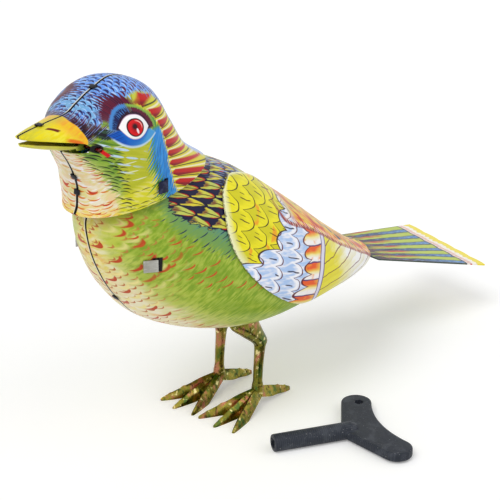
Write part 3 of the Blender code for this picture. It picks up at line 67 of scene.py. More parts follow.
# Sections from the neck to the tail opening: top x, top z, bottom x, bottom z, half width
BODY_SECTIONS = np.array([
    (-22.0, 101.0, -56.0, 95.0, 12.0),
    (-15.2, 97.2, -59.2, 88.0, 16.4),
    (-8.3, 94.6, -59.9, 82.1, 19.3),
    (2.9, 88.6, -56.9, 70.7, 22.6),
    (13.6, 80.2, -49.5, 57.7, 25.9),
    (27.0, 69.9, -36.5, 45.2, 28.4),
    (40.2, 59.5, -12.4, 36.6, 28.3),
    (53.2, 50.4, 14.8, 39.0, 23.9),
    (63.2, 44.8, 46.0, 37.2, 15.6),
    (69.6, 42.6, 66.5, 35.8, 8.5),
])
HEAD_SECTIONS = np.array([
    (-84.5, 118.9, -84.3, 117.9, 1.2),
    (-80.3, 119.7, -80.9, 115.5, 3.4),
    (-73.0, 120.7, -74.5, 112.8, 6.2),
    (-66.0, 121.6, -69.6, 111.6, 8.8),
    (-61.8, 123.9, -68.2, 109.6, 11.5),
    (-56.1, 126.9, -66.2, 106.5, 15.2),
    (-47.7, 129.59, -64.3, 102.6, 18.0),
    (-37.8, 126.1, -62.8, 97.9, 18.4),
    (-30.6, 115.8, -63.0, 94.2, 18.4),
    (-23.5, 105.4, -63.3, 91.2, 18.2),
    (-13.8, 98.4, -64.4, 88.9, 17.8),
])
BODY_GRID = (150, 96)
HEAD_GRID = (150, 84)
# Distance from one section to the next along the beak, as its print takes it
BEAK_STEP = 4.5

# Mouth and lower beak in side view; its lever's eye is given from the hinge
BEAK_TIP = (-84.5, 117.9)
MOUTH_CORNER = (-67.0, 114.4)
CHEEK_EDGE = (-68.4, 110.4)
BEAK_HINGE = (-64.6, 112.8)
BEAK_HINGE_RADIUS = 0.6
BEAK_LEVER = (1.4, -6.0)
BEAK_LEVER_Y = -3.1
LEVER_HALF = 0.3
LOWER_BEAK_WALL = 0.5
LOWER_BEAK_LIP = 0.02
LOWER_BEAK_GRID = (60, 36)
# Sections of the lower beak: x, z of the rim, depth, half width
LOWER_BEAK = np.array([
    (-83.7, 116.3, 0.9, 1.1),
    (-80.0, 115.5, 1.4, 2.8),
    (-74.6, 114.5, 2.0, 4.9),
    (-69.6, 113.5, 2.1, 6.5),
    (-66.4, 113.1, 1.8, 7.1),
])
EYE_CENTRE = (-54.25, 118.4)
EYE_TILT = 6.0

# Lugs in side view, the inner bends of the neck's lug in plan, and seam tabs as place along the
# sections and edge
BREAST_LUG = (-47.2, 72.0)
NECK_LUG = (-42.8, 97.4)
NECK_LUG_START = [(-41.2, 11.7), (-42.2, 14.2)]
LUG_WIDTH = 4.0
LUG_FOLD = 3.6
LUG_SLOT = 0.9
LUG_EDGE = 0.15
HEAD_TABS = [(1.55, "top"), (5.15, "top"), (6.3, "bottom"), (7.5, "bottom")]
BODY_TABS = [(4.1, "bottom")]
TAB_WIDTH = 1.7
TAB_REACH = 1.5
TAB_SHEET = 0.25
TAB_ROOT = (0.45, 1.1)
TAB_DEPTH = 0.35
ROD_EYE_RADIUS = 0.9

# Wing: body section number, upper edge and lower edge as angles round the section from its top
WING_EDGE = np.array([
    (2.28, 43.0, 53.0),
    (2.40, 37.0, 65.0),
    (2.80, 28.0, 76.5),
    (3.40, 19.5, 87.0),
    (4.20, 12.0, 93.5),
    (5.00, 9.0, 97.5),
    (5.80, 9.0, 102.2),
    (6.50, 10.0, 106.2),
    (7.10, 14.0, 110.0),
    (7.70, 24.0, 104.5),
    (8.30, 46.0, 98.0),
    (8.72, 76.0, 92.0),
])
WING_CROWN = 1.3
WING_GRID = (150, 90)
WING_STEP = 8.4

# Tail: pivot inside the rump, fan of flat sheet
TAIL_PIVOT = (52.0, 43.6)
TAIL_SLOPE = 15.0
TAIL_LEAN = 9.0
TAIL_LENGTH = 79.0
TAIL_TONGUE_LENGTH = 17.0
TAIL_TONGUE_HALF = 3.5
TAIL_ROOT_HALF = 11.0
TAIL_END_HALF = 20.0
TAIL_LEVER = 4.6
TAIL_LEVER_HALF = 0.35
TAIL_TONGUE_GAP = 0.01
TAIL_SCALLOPS = 5
TAIL_SCALLOP_DEPTH = 0.8
TAIL_TRIM = 0.03
TAIL_PIN_RADIUS = 0.7
TAIL_BARREL_WALL = 0.7
TAIL_BARREL_HALF = 2.5
TAIL_SHOULDER = TAIL_TONGUE_LENGTH + 3.5
TAIL_GRID = (150, 110)

# Legs: x, z, half length, half width, from the thigh inside the belly to the ankle
LEG_Y = 9.4
LEG_SECTIONS = np.array([
    (-0.2, 39.4, 4.8, 1.5),
    (0.6, 34.2, 6.4, 2.2),
    (4.6, 29.2, 4.9, 2.3),
    (8.6, 24.6, 3.2, 2.1),
    (8.7, 22.0, 2.1, 1.9),
    (8.1, 16.0, 1.75, 1.75),
    (7.7, 10.0, 1.7, 1.7),
    (7.6, 8.0, 2.0, 2.0),
    (7.5, 5.0, 2.3, 2.3),
])
LEG_HOLE_GAP = 0.35
LEG_GRID = (70, 40)
TOE_RINGS = 40
ANKLE_X = 7.5
# Tips of the toes: x, and the way from the leg towards the midplane
TOE_TIPS = [(-13.5, -8.3), (-15.0, -0.6), (-13.9, 7.8), (24.4, 0.0)]
# Sections of a front toe and of the back toe: share of its length, ridge z, sole z, half width
TOE_SECTIONS = np.array([
    (0.00, 7.4, 4.2, 2.0),
    (0.30, 6.0, 2.4, 2.2),
    (0.50, 4.5, 0.7, 2.0),
    (0.58, 4.0, 0.0, 1.85),
    (0.80, 2.5, 0.0, 1.3),
    (0.96, 1.3, 0.0, 0.7),
    (1.00, 0.8, 0.0, 0.35),
])
BACK_TOE_SECTIONS = np.array([
    (0.00, 7.6, 4.0, 2.3),
    (0.30, 6.1, 2.2, 1.9),
    (0.55, 4.6, 1.4, 1.3),
    (0.80, 3.0, 0.4, 0.8),
    (0.95, 1.8, 0.0, 0.45),
    (1.00, 1.3, 0.1, 0.25),
])
# Knuckles of a toe: share of its length, width as a share, height. Shoulders: shares of height and width
TOE_KNUCKLES = [(0.62, 0.035, 0.35), (0.85, 0.03, 0.25)]
TOE_SHOULDER_HEIGHT = 0.72
TOE_SHOULDER_HALF = 0.55

# Lug of the leg between the motor's plates, and the key hole
LEG_LUG_X = (-0.5, 6.0)
LEG_LUG_TOP = 45.0
LEG_LUG_SHEET = 0.8
PLATE_INSIDE = 11.0
SPRING_AXIS = (-22.0, 58.0)
KEY_HOLE_RADIUS = 3.8
KEY_HOLE_REACH = (20.0, 34.0)

# Key, lying on the floor
KEY_JUNCTION = (11.45, -48.6)
KEY_HEADING = 152.9
KEY_TUBE_RADIUS = 3.0
KEY_TUBE_LENGTH = 27.7
KEY_SQUARE = 3.2
KEY_SOCKET_DEPTH = 14.0
KEY_PLATE = 3.3
KEY_PLATE_Z = 2.35
KEY_WING_BACK = 9.6
KEY_WING_SPAN = 17.2
KEY_WING_RADIUS = 5.28
KEY_WING_BEARINGS = (22.0, 204.0)
KEY_WAIST = 11.3
KEY_STRING_HOLE = 1.6
KEY_STRING_HOLE_AT = (-10.2, -16.3)
# Rounding of its edge, where a finger plate begins, points round its end, and shares of the sweep back
KEY_EDGE = 0.7
KEY_NECK = (2.2, KEY_TUBE_RADIUS - 0.6)
KEY_WING_POINTS = 31
KEY_SWEEP = (0.93, 0.07, 13)
# Ends of the tube: place before its root and radius, and steps back and inward at its mouth
KEY_TUBE_ROOT = [(-3.0, 0.5), (-2.4, 0.65 * KEY_TUBE_RADIUS), (-1.6, 0.8 * KEY_TUBE_RADIUS),
                 (0, KEY_TUBE_RADIUS)]
KEY_TUBE_MOUTH = [(0.5, 0.0), (0.15, 0.15), (0.0, 0.5)]

# Edges of the printed bands. Beak and lores: place along the head at shares round it. The rest of head
# and body: share round a section at places along the piece
BEAK_LINE = [(0, 2.7), (0.2, 2.68), (0.3, 2.82), (0.42, 3.0), (0.5, 3.28), (0.56, 3.6), (0.62, 3.72),
             (0.68, 3.3), (1, 2.6)]
LORES_LINE = [(0, 3.1), (0.15, 3.15), (0.25, 3.35), (0.34, 3.8), (0.4, 4.4), (0.45, 4.6), (0.5, 4.2),
              (0.55, 3.8), (0.62, 3.0), (1, 2.2)]
HEAD_LINES = {
    "cap": [(2.5, 0.52), (3.4, 0.5), (4, 0.45), (4.6, 0.36), (5.4, 0.285), (6, 0.235), (6.6, 0.225),
            (7.2, 0.24), (8, 0.23), (9, 0.19), (10, 0.15)],
    "brow": [(5.2, 0.27), (6.3, 0.33), (6.9, 0.375), (7.5, 0.39), (8, 0.415), (8.5, 0.44), (9, 0.455),
             (9.5, 0.48), (10, 0.49)],
    "stripe": [(6.8, 0.38), (7.1, 0.46), (7.6, 0.5), (8, 0.51), (9, 0.52), (10, 0.53)],
    "cheek": [(3, 0.54), (4, 0.57), (4.6, 0.59), (5, 0.62), (6, 0.665), (7, 0.69), (8, 0.695), (9, 0.7),
              (10, 0.71)],
    "green": [(2.8, 0.68), (3.4, 0.7), (4, 0.76), (5, 0.8), (6, 0.79), (7, 0.77), (8, 0.73), (9, 0.68),
              (10, 0.66)],
}
BODY_LINES = {
    "mantle": [(0, 0.52), (1, 0.54), (1.6, 0.565), (2.1, 0.56), (2.6, 0.53), (3.0, 0.5), (3.5, 0.46),
               (4.2, 0.4), (5, 0.2), (6, 0)],
    "teal": [(0, 0.56), (1.4, 0.6), (2.2, 0.61), (3, 0.57), (3.8, 0.525), (4.5, 0.48), (5.5, 0.3), (7, 0)],
    "green": [(0, 0.9), (1.5, 0.88), (2, 0.87), (3, 0.85), (4, 0.8), (5, 0.76), (6, 0.78), (7, 0.85),
              (8, 0.95), (9, 1)],
    "front": [(0, 0.68), (1.5, 0.74), (2.5, 0.84), (3.5, 0.97), (4.5, 1.1), (9, 1.6)],
    "rump": [(0, -0.5), (3.0, -0.2), (3.6, 0.1), (5, 0.24), (8, 0.3), (9, 0.5)],
}
# Lower edge of the wing's first band as a share across at places along, then the ends of three rows of
# feathers as places along at shares across
WING_BAND = [(0, -0.6), (2, -0.3), (3.0, 0.12), (3.6, 0.42), (4, 0.5), (5, 0.44), (5.6, 0.4), (6.5, 0.385),
             (8, 0.38), (9, 0.4), (10, 0.45), (11, 0.5)]
WING_ROWS = [
    [(0, 3.9), (0.5, 4.0), (0.6, 4.15), (0.7, 4.3), (0.8, 4.25), (1, 4.1)],
    [(0, 4.5), (0.4, 4.85), (0.5, 4.95), (0.6, 5.1), (0.7, 5.4), (0.8, 5.65), (0.9, 5.85), (1, 5.9)],
    [(0, 5.2), (0.4, 5.6), (0.5, 5.7), (0.6, 5.8), (0.7, 6.0), (0.8, 6.25), (0.9, 6.6), (1, 7.0)],
]

# Camera, solved from the photograph
VIEW_AZIMUTH = -46.5
VIEW_ELEVATION = 22.0
VIEW_DISTANCE = 550.0
VIEW_TARGET = (0.0, -13.0, 62.0)
VIEW_LENS = 118.8
SENSOR = 36.0

# Stage: floor's half size in metres and its glow to the camera, light of the world, lamps as name,
# strength, angle, azimuth and elevation
FLOOR_HALF = 3.0
FLOOR_LIFT = 0.2
WORLD_LIGHT = 0.58
LAMPS = [("key_light", 1.15, 30, -80, 50), ("fill_light", 0.45, 60, 20, 35)]

# Print: its gloss, then colours as they look, 0 to 255
PRINT_COAT = 0.06
PRINT_SPECULAR = 0.16
NAVY = (22, 20, 58)
MAROON = (96, 18, 46)
CREAM = (240, 232, 196)
YELLOW = (244, 234, 44)
LIME = (176, 200, 62)
WHITE = (250, 250, 250)
BLACK = (16, 14, 16)

# Faces of a piece take the first or the second of its materials
OUTSIDE, INSIDE = 0, 1
SIDES = ((-1, "left"), (1, "right"))


def bird_origin():
    """Where the bird frame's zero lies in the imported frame, in millimetres."""
    low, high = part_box("tail_pivot_pin")
    middle = (low + high) / 2 / MM
    return np.array([middle.x - TAIL_PIVOT[0], middle.y, middle.z - TAIL_PIVOT[1]])


ORIGIN = bird_origin()


def row_at(rows, t):
    """Smooth rows of a table at parameters t, one per whole number."""
    t = np.asarray(t, float)
    index = np.clip(np.floor(t).astype(int), 0, len(rows) - 2)
    f = (t - index)[..., None]
    a = rows[np.maximum(index - 1, 0)]
    b = rows[index]
    c = rows[index + 1]
    d = rows[np.minimum(index + 2, len(rows) - 1)]
    return 0.5 * (2 * b + (c - a) * f + (2 * a - 5 * b + 4 * c - d) * f ** 2
                  + (3 * b - a - 3 * c + d) * f ** 3)


def shell_point(sections, t, a, side, inset=0.0):
    """Points on a shell at t along it and a round it, side -1 left or 1 right."""
    top_x, top_z, low_x, low_z, half = np.moveaxis(row_at(sections, t), -1, 0)
    half_x = (top_x - low_x) / 2
    half_z = (top_z - low_z) / 2
    height = np.hypot(half_x, half_z)
    shrink = np.maximum(height - inset, 0.1 * height) / height
    angle = pi * np.asarray(a, float)
    power = 2 / SECTION_POWER
    along = np.sign(np.cos(angle)) * np.abs(np.cos(angle)) ** power * shrink
    across = np.abs(np.sin(angle)) ** power * np.maximum(half - inset, 0.1 * half)
    return np.stack([(top_x + low_x) / 2 + half_x * along, side * (across + SEAM / 2),
                     (top_z + low_z) / 2 + half_z * along], -1)


def shell_normal(sections, t, a, side):
    """Outward normals of a shell."""
    small = 0.003
    here = shell_point(sections, t, a, side)
    along = shell_point(sections, t + small, a, side) - here
    across = shell_point(sections, t, a + small, side) - here
    normal = np.cross(across, along)
    normal *= np.where(normal[..., 1:2] * side > 0, 1, -1)
    return normal / np.linalg.norm(normal, axis=-1, keepdims=True)


def shell_place(sections, points):
    """t and a of points that lie on or just inside a shell."""
    x, z = points[:, 0], points[:, 2]

    def beyond(t):
        top_x, top_z, low_x, low_z, _ = np.moveaxis(row_at(sections, t), -1, 0)
        return (top_x - low_x) * (z - low_z) - (top_z - low_z) * (x - low_x) > 0

    low = np.zeros(len(points))
    high = np.full(len(points), len(sections) - 1.0)
    rising = beyond(high)
    for _ in range(26):
        middle = (low + high) / 2
        ahead = beyond(middle) == rising
        high = np.where(ahead, middle, high)
        low = np.where(ahead, low, middle)
    top_x, top_z, low_x, low_z, half = np.moveaxis(row_at(sections, low), -1, 0)
    half_x = (top_x - low_x) / 2
    half_z = (top_z - low_z) / 2
    along = (x - (top_x + low_x) / 2) * half_x + (z - (top_z + low_z) / 2) * half_z
    along = along / (half_x ** 2 + half_z ** 2)
    across = np.clip(np.abs(points[:, 1]) - SEAM / 2, 0, None) / half
    angle = np.arctan2(across ** (SECTION_POWER / 2),
                       np.sign(along) * np.abs(along) ** (SECTION_POWER / 2))
    return low, angle / pi


def running_lengths(grid, axis):
    """Distances from the first points of a grid along one of its axes."""
    lengths = np.cumsum(np.linalg.norm(np.diff(grid, axis=axis), axis=-1), axis=axis)
    return np.concatenate([np.zeros_like(lengths.take([0], axis)), lengths], axis=axis)


def surface_lengths(sections, t, a):
    """Distances along the shell from its first section and round it from its top."""
    stations = np.linspace(0, len(sections) - 1, 12 * len(sections))
    angles = np.linspace(0, 1, 49)
    grid = shell_point(sections, *np.meshgrid(stations, angles, indexing="ij"), 1)
    along = running_lengths(grid, 0)
    around = running_lengths(grid, 1)
    i = np.clip(t / stations[1], 0, len(stations) - 1.001)
    j = np.clip(a / angles[1], 0, len(angles) - 1.001)
    i0 = i.astype(int)
    j0 = j.astype(int)
    fi = i - i0
    fj = j - j0

    def blend(table):
        return ((1 - fi) * ((1 - fj) * table[i0, j0] + fj * table[i0, j0 + 1])
                + fi * ((1 - fj) * table[i0 + 1, j0] + fj * table[i0 + 1, j0 + 1]))

    return blend(along), blend(around), blend(around[:, -1:] + 0 * around)


def curve_through(points, value):
    """Height of a smooth line through points at given values."""
    xs = np.array([p[0] for p in points], float)
    ys = np.array([p[1] for p in points], float)
    steps = np.gradient(ys, xs)
    value = np.clip(value, xs[0], xs[-1])
    i = np.clip(np.searchsorted(xs, value) - 1, 0, len(xs) - 2)
    span = xs[i + 1] - xs[i]
    f = (value - xs[i]) / span
    return ((2 * f ** 3 - 3 * f ** 2 + 1) * ys[i] + (f ** 3 - 2 * f ** 2 + f) * span * steps[i]
            + (3 * f ** 2 - 2 * f ** 3) * ys[i + 1] + (f ** 3 - f ** 2) * span * steps[i + 1])


# Meshes

def grid_faces(rows, columns, start=0, flip=False):
    """Quads of a grid of points."""
    i, j = np.meshgrid(np.arange(rows - 1), np.arange(columns - 1), indexing="ij")
    corner = (start + i * columns + j).ravel()
    quads = np.stack([corner, corner + columns, corner + columns + 1, corner + 1], -1)
    return quads[:, ::-1] if flip else quads


def sheet_solid(outer, inner):
    """Points, faces and face kinds of a closed sheet."""
    rows, columns = outer.shape[:2]
    count = rows * columns
    border = [(i, 0) for i in range(rows)]
    border += [(rows - 1, j) for j in range(1, columns)]
    border += [(i, columns - 1) for i in range(rows - 2, -1, -1)]
    border += [(0, j) for j in range(columns - 2, 0, -1)]
    ring = [i * columns + j for i, j in border]
    rim = [(a, b, b + count, a + count) for a, b in zip(ring, ring[1:] + ring[:1])]
    faces = [tuple(q) for q in grid_faces(rows, columns)]
    kinds = [OUTSIDE] * len(faces)
    faces += [tuple(q) for q in grid_faces(rows, columns, count, True)] + rim
    kinds += [INSIDE] * (len(faces) - len(kinds))
    return np.concatenate([outer.reshape(-1, 3), inner.reshape(-1, 3)]), faces, kinds


def add_object(name, data):
    """Object in the scene."""
    item = bpy.data.objects.new(name, data)
    bpy.context.scene.collection.objects.link(item)
    return item


def make_piece(name, points, faces, kinds=None):
    """Object from points in the bird frame, with its faces turned outward."""
    mesh = bpy.data.meshes.new(name)
    mesh.from_pydata([tuple(p) for p in (np.asarray(points) + ORIGIN) * MM], [], faces)
    if kinds is not None:
        mesh.polygons.foreach_set("material_index", kinds)
    bm = bmesh.new()
    bm.from_mesh(mesh)
    bmesh.ops.recalc_face_normals(bm, faces=bm.faces)
    bm.to_mesh(mesh)
    bm.free()
    return add_object(name, mesh)


def bake_modifiers(piece):
    """Put a piece's modifiers into its mesh."""
    graph = bpy.context.evaluated_depsgraph_get()
    mesh = bpy.data.meshes.new_from_object(piece.evaluated_get(graph))
    piece.modifiers.clear()
    piece.data = mesh
    mesh.name = piece.name


def combine(piece, operation, *others):
    """Boolean a piece with others and remove them."""
    for other in others:
        modifier = piece.modifiers.new(other.name, "BOOLEAN")
        modifier.operation = operation
        modifier.object = other
        modifier.solver = "EXACT"
    bake_modifiers(piece)
    for other in others:
        bpy.data.objects.remove(other)


def finish_shading(piece, angle=40):
    """Smooth shading with sharp creases."""
    piece.data.shade_smooth()
    piece.data.set_sharp_from_angle(angle=radians(angle))


def bird_points(piece):
    """A piece's points in the bird frame."""
    flat = np.empty(3 * len(piece.data.vertices))
    piece.data.vertices.foreach_get("co", flat)
    return flat.reshape(-1, 3) / MM - ORIGIN


def store(piece, name, *parts):
    """Keep up to three numbers for each point, which its material reads by name."""
    parts = [*parts, *[0 * parts[0]] * (3 - len(parts))]
    attribute = piece.data.attributes.new(name, "FLOAT_VECTOR", "POINT")
    attribute.data.foreach_set("vector", np.stack(parts, -1).ravel())


def place(piece, materials, body, slot, *replaced):
    """Give a finished piece its materials, its body and the nodes that it stands for."""
    piece.data.materials.clear()
    for material in materials:
        piece.data.materials.append(material)
    store(piece, "bird", *bird_points(piece).T)
    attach(piece, body)
    if replaced:
        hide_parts(*replaced)
    return piece


def round_edges(piece, width, segments, limit=30):
    """Bevel the edges that turn by more than a limit in degrees."""
    bevel = piece.modifiers.new("edge", "BEVEL")
    bevel.width = width * MM
    bevel.segments = segments
    bevel.limit_method = "ANGLE"
    bevel.angle_limit = radians(limit)
    bake_modifiers(piece)


def moved(matrix, points):
    """Points through a matrix."""
    return np.array([tuple(matrix @ Vector(p)) for p in points])


def loft(name, rings, matrix=None, kind=OUTSIDE):
    """Closed piece through rings of equally many points, with flat ends."""
    count = len(rings[0])
    points = [point for ring in rings for point in ring]
    faces = [tuple(range(count)), tuple(range(len(points) - count, len(points)))]
    for low in range(0, len(points) - count, count):
        for k in range(count):
            n = (k + 1) % count
            faces.append((low + k, low + n, low + count + n, low + count + k))
    return make_piece(name, points if matrix is None else moved(matrix, points), faces, [kind] * len(faces))


def prism(name, outline, low, high, matrix=None, kind=INSIDE):
    """Plate square to Y with an outline in side view."""
    return loft(name, [[(x, y, z) for x, z in outline] for y in (low, high)], matrix, kind)


def rectangle(x0, z0, x1, z1):
    """Corners of a rectangle."""
    return [(x0, z0), (x1, z0), (x1, z1), (x0, z1)]


def box(name, low, high):
    """Box between two corners, for cuts and lugs."""
    return prism(name, rectangle(low[0], low[2], high[0], high[2]), low[1], high[1])


def circle(centre, radius, sides):
    """Points round a circle."""
    angles = [2 * pi * k / sides for k in range(sides)]
    return [(centre[0] + radius * cos(angle), centre[1] + radius * sin(angle)) for angle in angles]


def round_pin(name, centre, profile, sides=24, matrix=None, kind=INSIDE):
    """Turned piece along Y, from (y, radius) stations."""
    return loft(name, [[(x, y, z) for x, z in circle(centre, r, sides)] for y, r in profile], matrix, kind)


def bore(name, centre, radius, low, high):
    """Round cutter along Y."""
    return round_pin(name, centre, [(low, radius), (high, radius)])


# Printing: numbers and colours that vary over a surface

def linear(colour):
    """Shader colour of a colour as it looks."""
    shares = [part / 255 for part in colour]
    return (*[s / 12.92 if s <= 0.04045 else ((s + 0.055) / 1.055) ** 2.4 for s in shares], 1.0)


def feed(tree, socket, item):
    """Link a socket to a value or an output, or set it to a number or a colour."""
    if isinstance(item, Value):
        item = item.socket
    if isinstance(item, bpy.types.NodeSocket):
        tree.links.new(item, socket)
    else:
        socket.default_value = linear(item) if isinstance(item, tuple) else item


def node_method(operation, swapped=False):
    """Method of Value that makes one math node, with the value as its second number if swapped."""
    def method(self, *others):
        return self.math(operation, *((*others, self) if swapped else (self, *others)))
    return method


class Value:
    """Number that varies over a surface: the output of a node, with arithmetic."""

    def __init__(self, tree, socket):
        self.tree = tree
        self.socket = socket

    def math(self, operation, *inputs, clamp=False):
        """Value of a math node, held between 0 and 1 by a node of its own if clamped."""
        node = self.tree.nodes.new("ShaderNodeMath")
        node.operation = operation
        for socket, item in zip(node.inputs, inputs):
            feed(self.tree, socket, item)
        if not clamp:
            return Value(self.tree, node.outputs[0])
        held = self.tree.nodes.new("ShaderNodeClamp")
        self.tree.links.new(node.outputs[0], held.inputs[0])
        return Value(self.tree, held.outputs[0])

    __add__ = __radd__ = node_method("ADD")
    __sub__ = node_method("SUBTRACT")
    __rsub__ = node_method("SUBTRACT", swapped=True)
    __mul__ = __rmul__ = node_method("MULTIPLY")
    __truediv__ = node_method("DIVIDE")
    __pow__ = node_method("POWER")
    __abs__ = node_method("ABSOLUTE")
    floor = node_method("FLOOR")
    part = node_method("FRACT")
    sine = node_method("SINE")
    least = node_method("MINIMUM")
    most = node_method("MAXIMUM")

    def __neg__(self):
        return self * -1.0

    def above(self, edge=0.0, soft=0.05):
        """1 where the value is over the edge, fading to 0 over twice the soft width."""
        return self.math("MULTIPLY_ADD", self, 0.5 / soft, 0.5 - 0.5 * edge / soft, clamp=True)

    def below(self, edge=0.0, soft=0.05):
        """1 where the value is under the edge."""
        return self.math("MULTIPLY_ADD", self, -0.5 / soft, 0.5 + 0.5 * edge / soft, clamp=True)

    def near(self, middle, half, soft=0.05):
        """1 where the value is less than half a width from the middle."""
        return abs(self - middle).below(half, soft)


class Print:
    """Material of a printed or finished surface."""

    def __init__(self, name, base, roughness=0.3, metallic=0.0, coat=0.0):
        self.material = bpy.data.materials.new(name)
        self.material.use_nodes = True
        self.tree = self.material.node_tree
        self.shader = self.tree.nodes["Principled BSDF"]
        specular = PRINT_SPECULAR if metallic < 0.5 else 0.5
        for name, number in (("Roughness", roughness), ("Metallic", metallic), ("Coat Weight", coat),
                             ("Coat Roughness", 0.12), ("Specular IOR Level", specular)):
            self.shader.inputs[name].default_value = number
        self.colour = base
        self.seed = 0

    def split(self, source, scale=None):
        """Three numbers of a vector output, over a scale where it has one."""
        node = self.tree.nodes.new("ShaderNodeSeparateXYZ")
        self.tree.links.new(source, node.inputs[0])
        parts = [Value(self.tree, output) for output in node.outputs]
        return parts if scale is None else [part / scale for part in parts]

    def attribute(self, name):
        """The three stored numbers of that name."""
        node = self.tree.nodes.new("ShaderNodeAttribute")
        node.attribute_name = name
        return self.split(node.outputs["Vector"])

    def bird_place(self):
        """Place of a point in the bird frame, which cloud() reads too."""
        self.place = self.attribute("bird")
        return self.place

    def own_place(self):
        """Place of a point in its piece's own coordinates, in millimetres, which cloud() reads too."""
        self.place = self.split(self.tree.nodes.new("ShaderNodeTexCoord").outputs["Object"], MM)
        return self.place

    def vector(self, *parts):
        """Vector output of three numbers."""
        node = self.tree.nodes.new("ShaderNodeCombineXYZ")
        for socket, item in zip(node.inputs, parts):
            feed(self.tree, socket, item)
        return node.outputs[0]

    def noise(self, *parts, detail=2.0, rough=0.5):
        """Smooth noise around 0.5 with one bump per unit."""
        self.seed += 1
        place = self.vector(parts[0] + 7.3 * self.seed, *parts[1:])
        node = self.tree.nodes.new("ShaderNodeTexNoise")
        node.inputs["Scale"].default_value = 1.0
        node.inputs["Detail"].default_value = detail
        node.inputs["Roughness"].default_value = rough
        self.tree.links.new(place, node.inputs["Vector"])
        return Value(self.tree, node.outputs[0])

    def cloud(self, size, detail=2.0, rough=0.5):
        """Noise over the place of a point, with bumps of a size or of one size per axis."""
        sizes = size if isinstance(size, tuple) else (size, size, size)
        return self.noise(*[part / step for part, step in zip(self.place, sizes)], detail=detail, rough=rough)

    def random(self, x, y=0.0):
        """One number per whole x and y, from 0 to 1."""
        self.seed += 1
        place = self.vector(x, y, 0.37 * self.seed)
        node = self.tree.nodes.new("ShaderNodeTexWhiteNoise")
        node.noise_dimensions = "3D"
        self.tree.links.new(place, node.inputs["Vector"])
        return Value(self.tree, node.outputs[0])

    def mix(self, mask, under, over):
        """Colour between two colours by a mask."""
        node = self.tree.nodes.new("ShaderNodeMix")
        node.data_type = "RGBA"
        for socket, item in ((node.inputs[0], mask), (node.inputs[6], under), (node.inputs[7], over)):
            feed(self.tree, socket, item)
        return node.outputs[2]

    def lay(self, mask, colour):
        """Print a colour over what is there."""
        self.colour = self.mix(mask, self.colour, colour)

    def hair(self, across, width):
        """Spikes from 0 to 1 along a fringe."""
        cell = across / width
        spike = 1 - abs(cell.part() * 2 - 1)
        return spike * (self.random(cell.floor()) * 0.7 + 0.3)

    def strokes(self, along, across, length, pitch, thick, fill=0.8, bend=0.0, soft=0.08):
        """Mask of short tapered brush strokes, laid in staggered cells."""
        column = (across / pitch).floor()
        place = along / length + self.random(column)
        row = place.floor()
        f = place - row - 0.5
        chance = self.random(row, column)
        sway = (chance - 0.5) * (0.35 * pitch) + f * f * (bend * 4)
        offset = across - column * pitch - 0.5 * pitch + sway
        body = (1 - (f * 2.3) ** 2).most(0.0) ** 0.5
        mark = (body * thick * (chance * 0.6 + 0.6) - abs(offset)).above(0.0, soft)
        return mark * chance.below(fill, 0.01)

    def scallops(self, along, across, length, width, depth=0.8, power=2.2):
        """Overlapping feathers: distance inside the tip edge, offset from the shaft, chance, share."""
        x = along / length
        row = x.floor()
        f = x - row
        shift = (row * 0.5).part()
        y = across / width + shift
        d = y.part() - 0.5
        tip = 1 - (abs(d) * 2) ** power
        tip = tip * depth
        y_next = across / width + 0.5 - shift
        d_next = y_next.part() - 0.5
        tip_next = (1 - (abs(d_next) * 2) ** power) * depth + 1
        own = (tip - f).above(0.0, 0.001)
        share = tip_next - f + (tip - tip_next) * own
        shaft = d_next + (d - d_next) * own
        cell = y_next.floor() + (y.floor() - y_next.floor()) * own
        chance = self.random(row + 1 - own, cell + 0.3 * own)
        return share * length, shaft * width, chance, abs(tip - f) * length

    def bump(self, height, strength=0.3, distance=0.1):
        """Fine relief from a height in millimetres."""
        node = self.tree.nodes.new("ShaderNodeBump")
        node.inputs["Strength"].default_value = strength
        node.inputs["Distance"].default_value = distance * MM
        self.tree.links.new(height.socket, node.inputs["Height"])
        self.tree.links.new(node.outputs[0], self.shader.inputs["Normal"])

    def rough(self, value):
        """Roughness that varies over the surface."""
        self.tree.links.new(value.socket, self.shader.inputs["Roughness"])

    def done(self):
        """Connect the colour and return the material."""
        feed(self.tree, self.shader.inputs["Base Color"], self.colour)
        return self.material


def lacquer(paper):
    """Worn gloss lacquer over the print: faint orange peel, scuffs and small chips."""
    scuff = paper.cloud(6, 4, rough=0.65)
    fine = paper.cloud(0.7, 2)
    paper.rough(scuff * 0.22 + fine * 0.06 + 0.2)
    paper.bump(paper.cloud(2.2, 3) + fine * 0.12, 0.25, 0.12)


def bare_tin():
    """Inside of the pressed sheet: gold lacquered tin, dark red in the mouth, with painted shade in the seam
    gap.
    """
    paper = Print("bare_tin", (150, 146, 122), 0.4, 0.9)
    x, y, _ = paper.bird_place()
    cloud = paper.cloud(9, 5)
    paper.lay(cloud.above(0.55, 0.15) * 0.6, (118, 108, 80))
    paper.lay(paper.cloud(1.3, 3).above(0.68, 0.05) * 0.5, (70, 60, 48))
    paper.lay(x.below(-63.0, 1.0), (64, 8, 12))
    paper.lay(x.below(-63.0, 1.0) * cloud.above(0.5, 0.1), (26, 6, 8))
    # Black near the midplane: painted shade in the seam gap, on the sheet's edges and inside
    paper.lay(abs(y).below(0.25, 0.04), (14, 12, 12))
    paper.rough(cloud * 0.3 + 0.25)
    return paper.done()


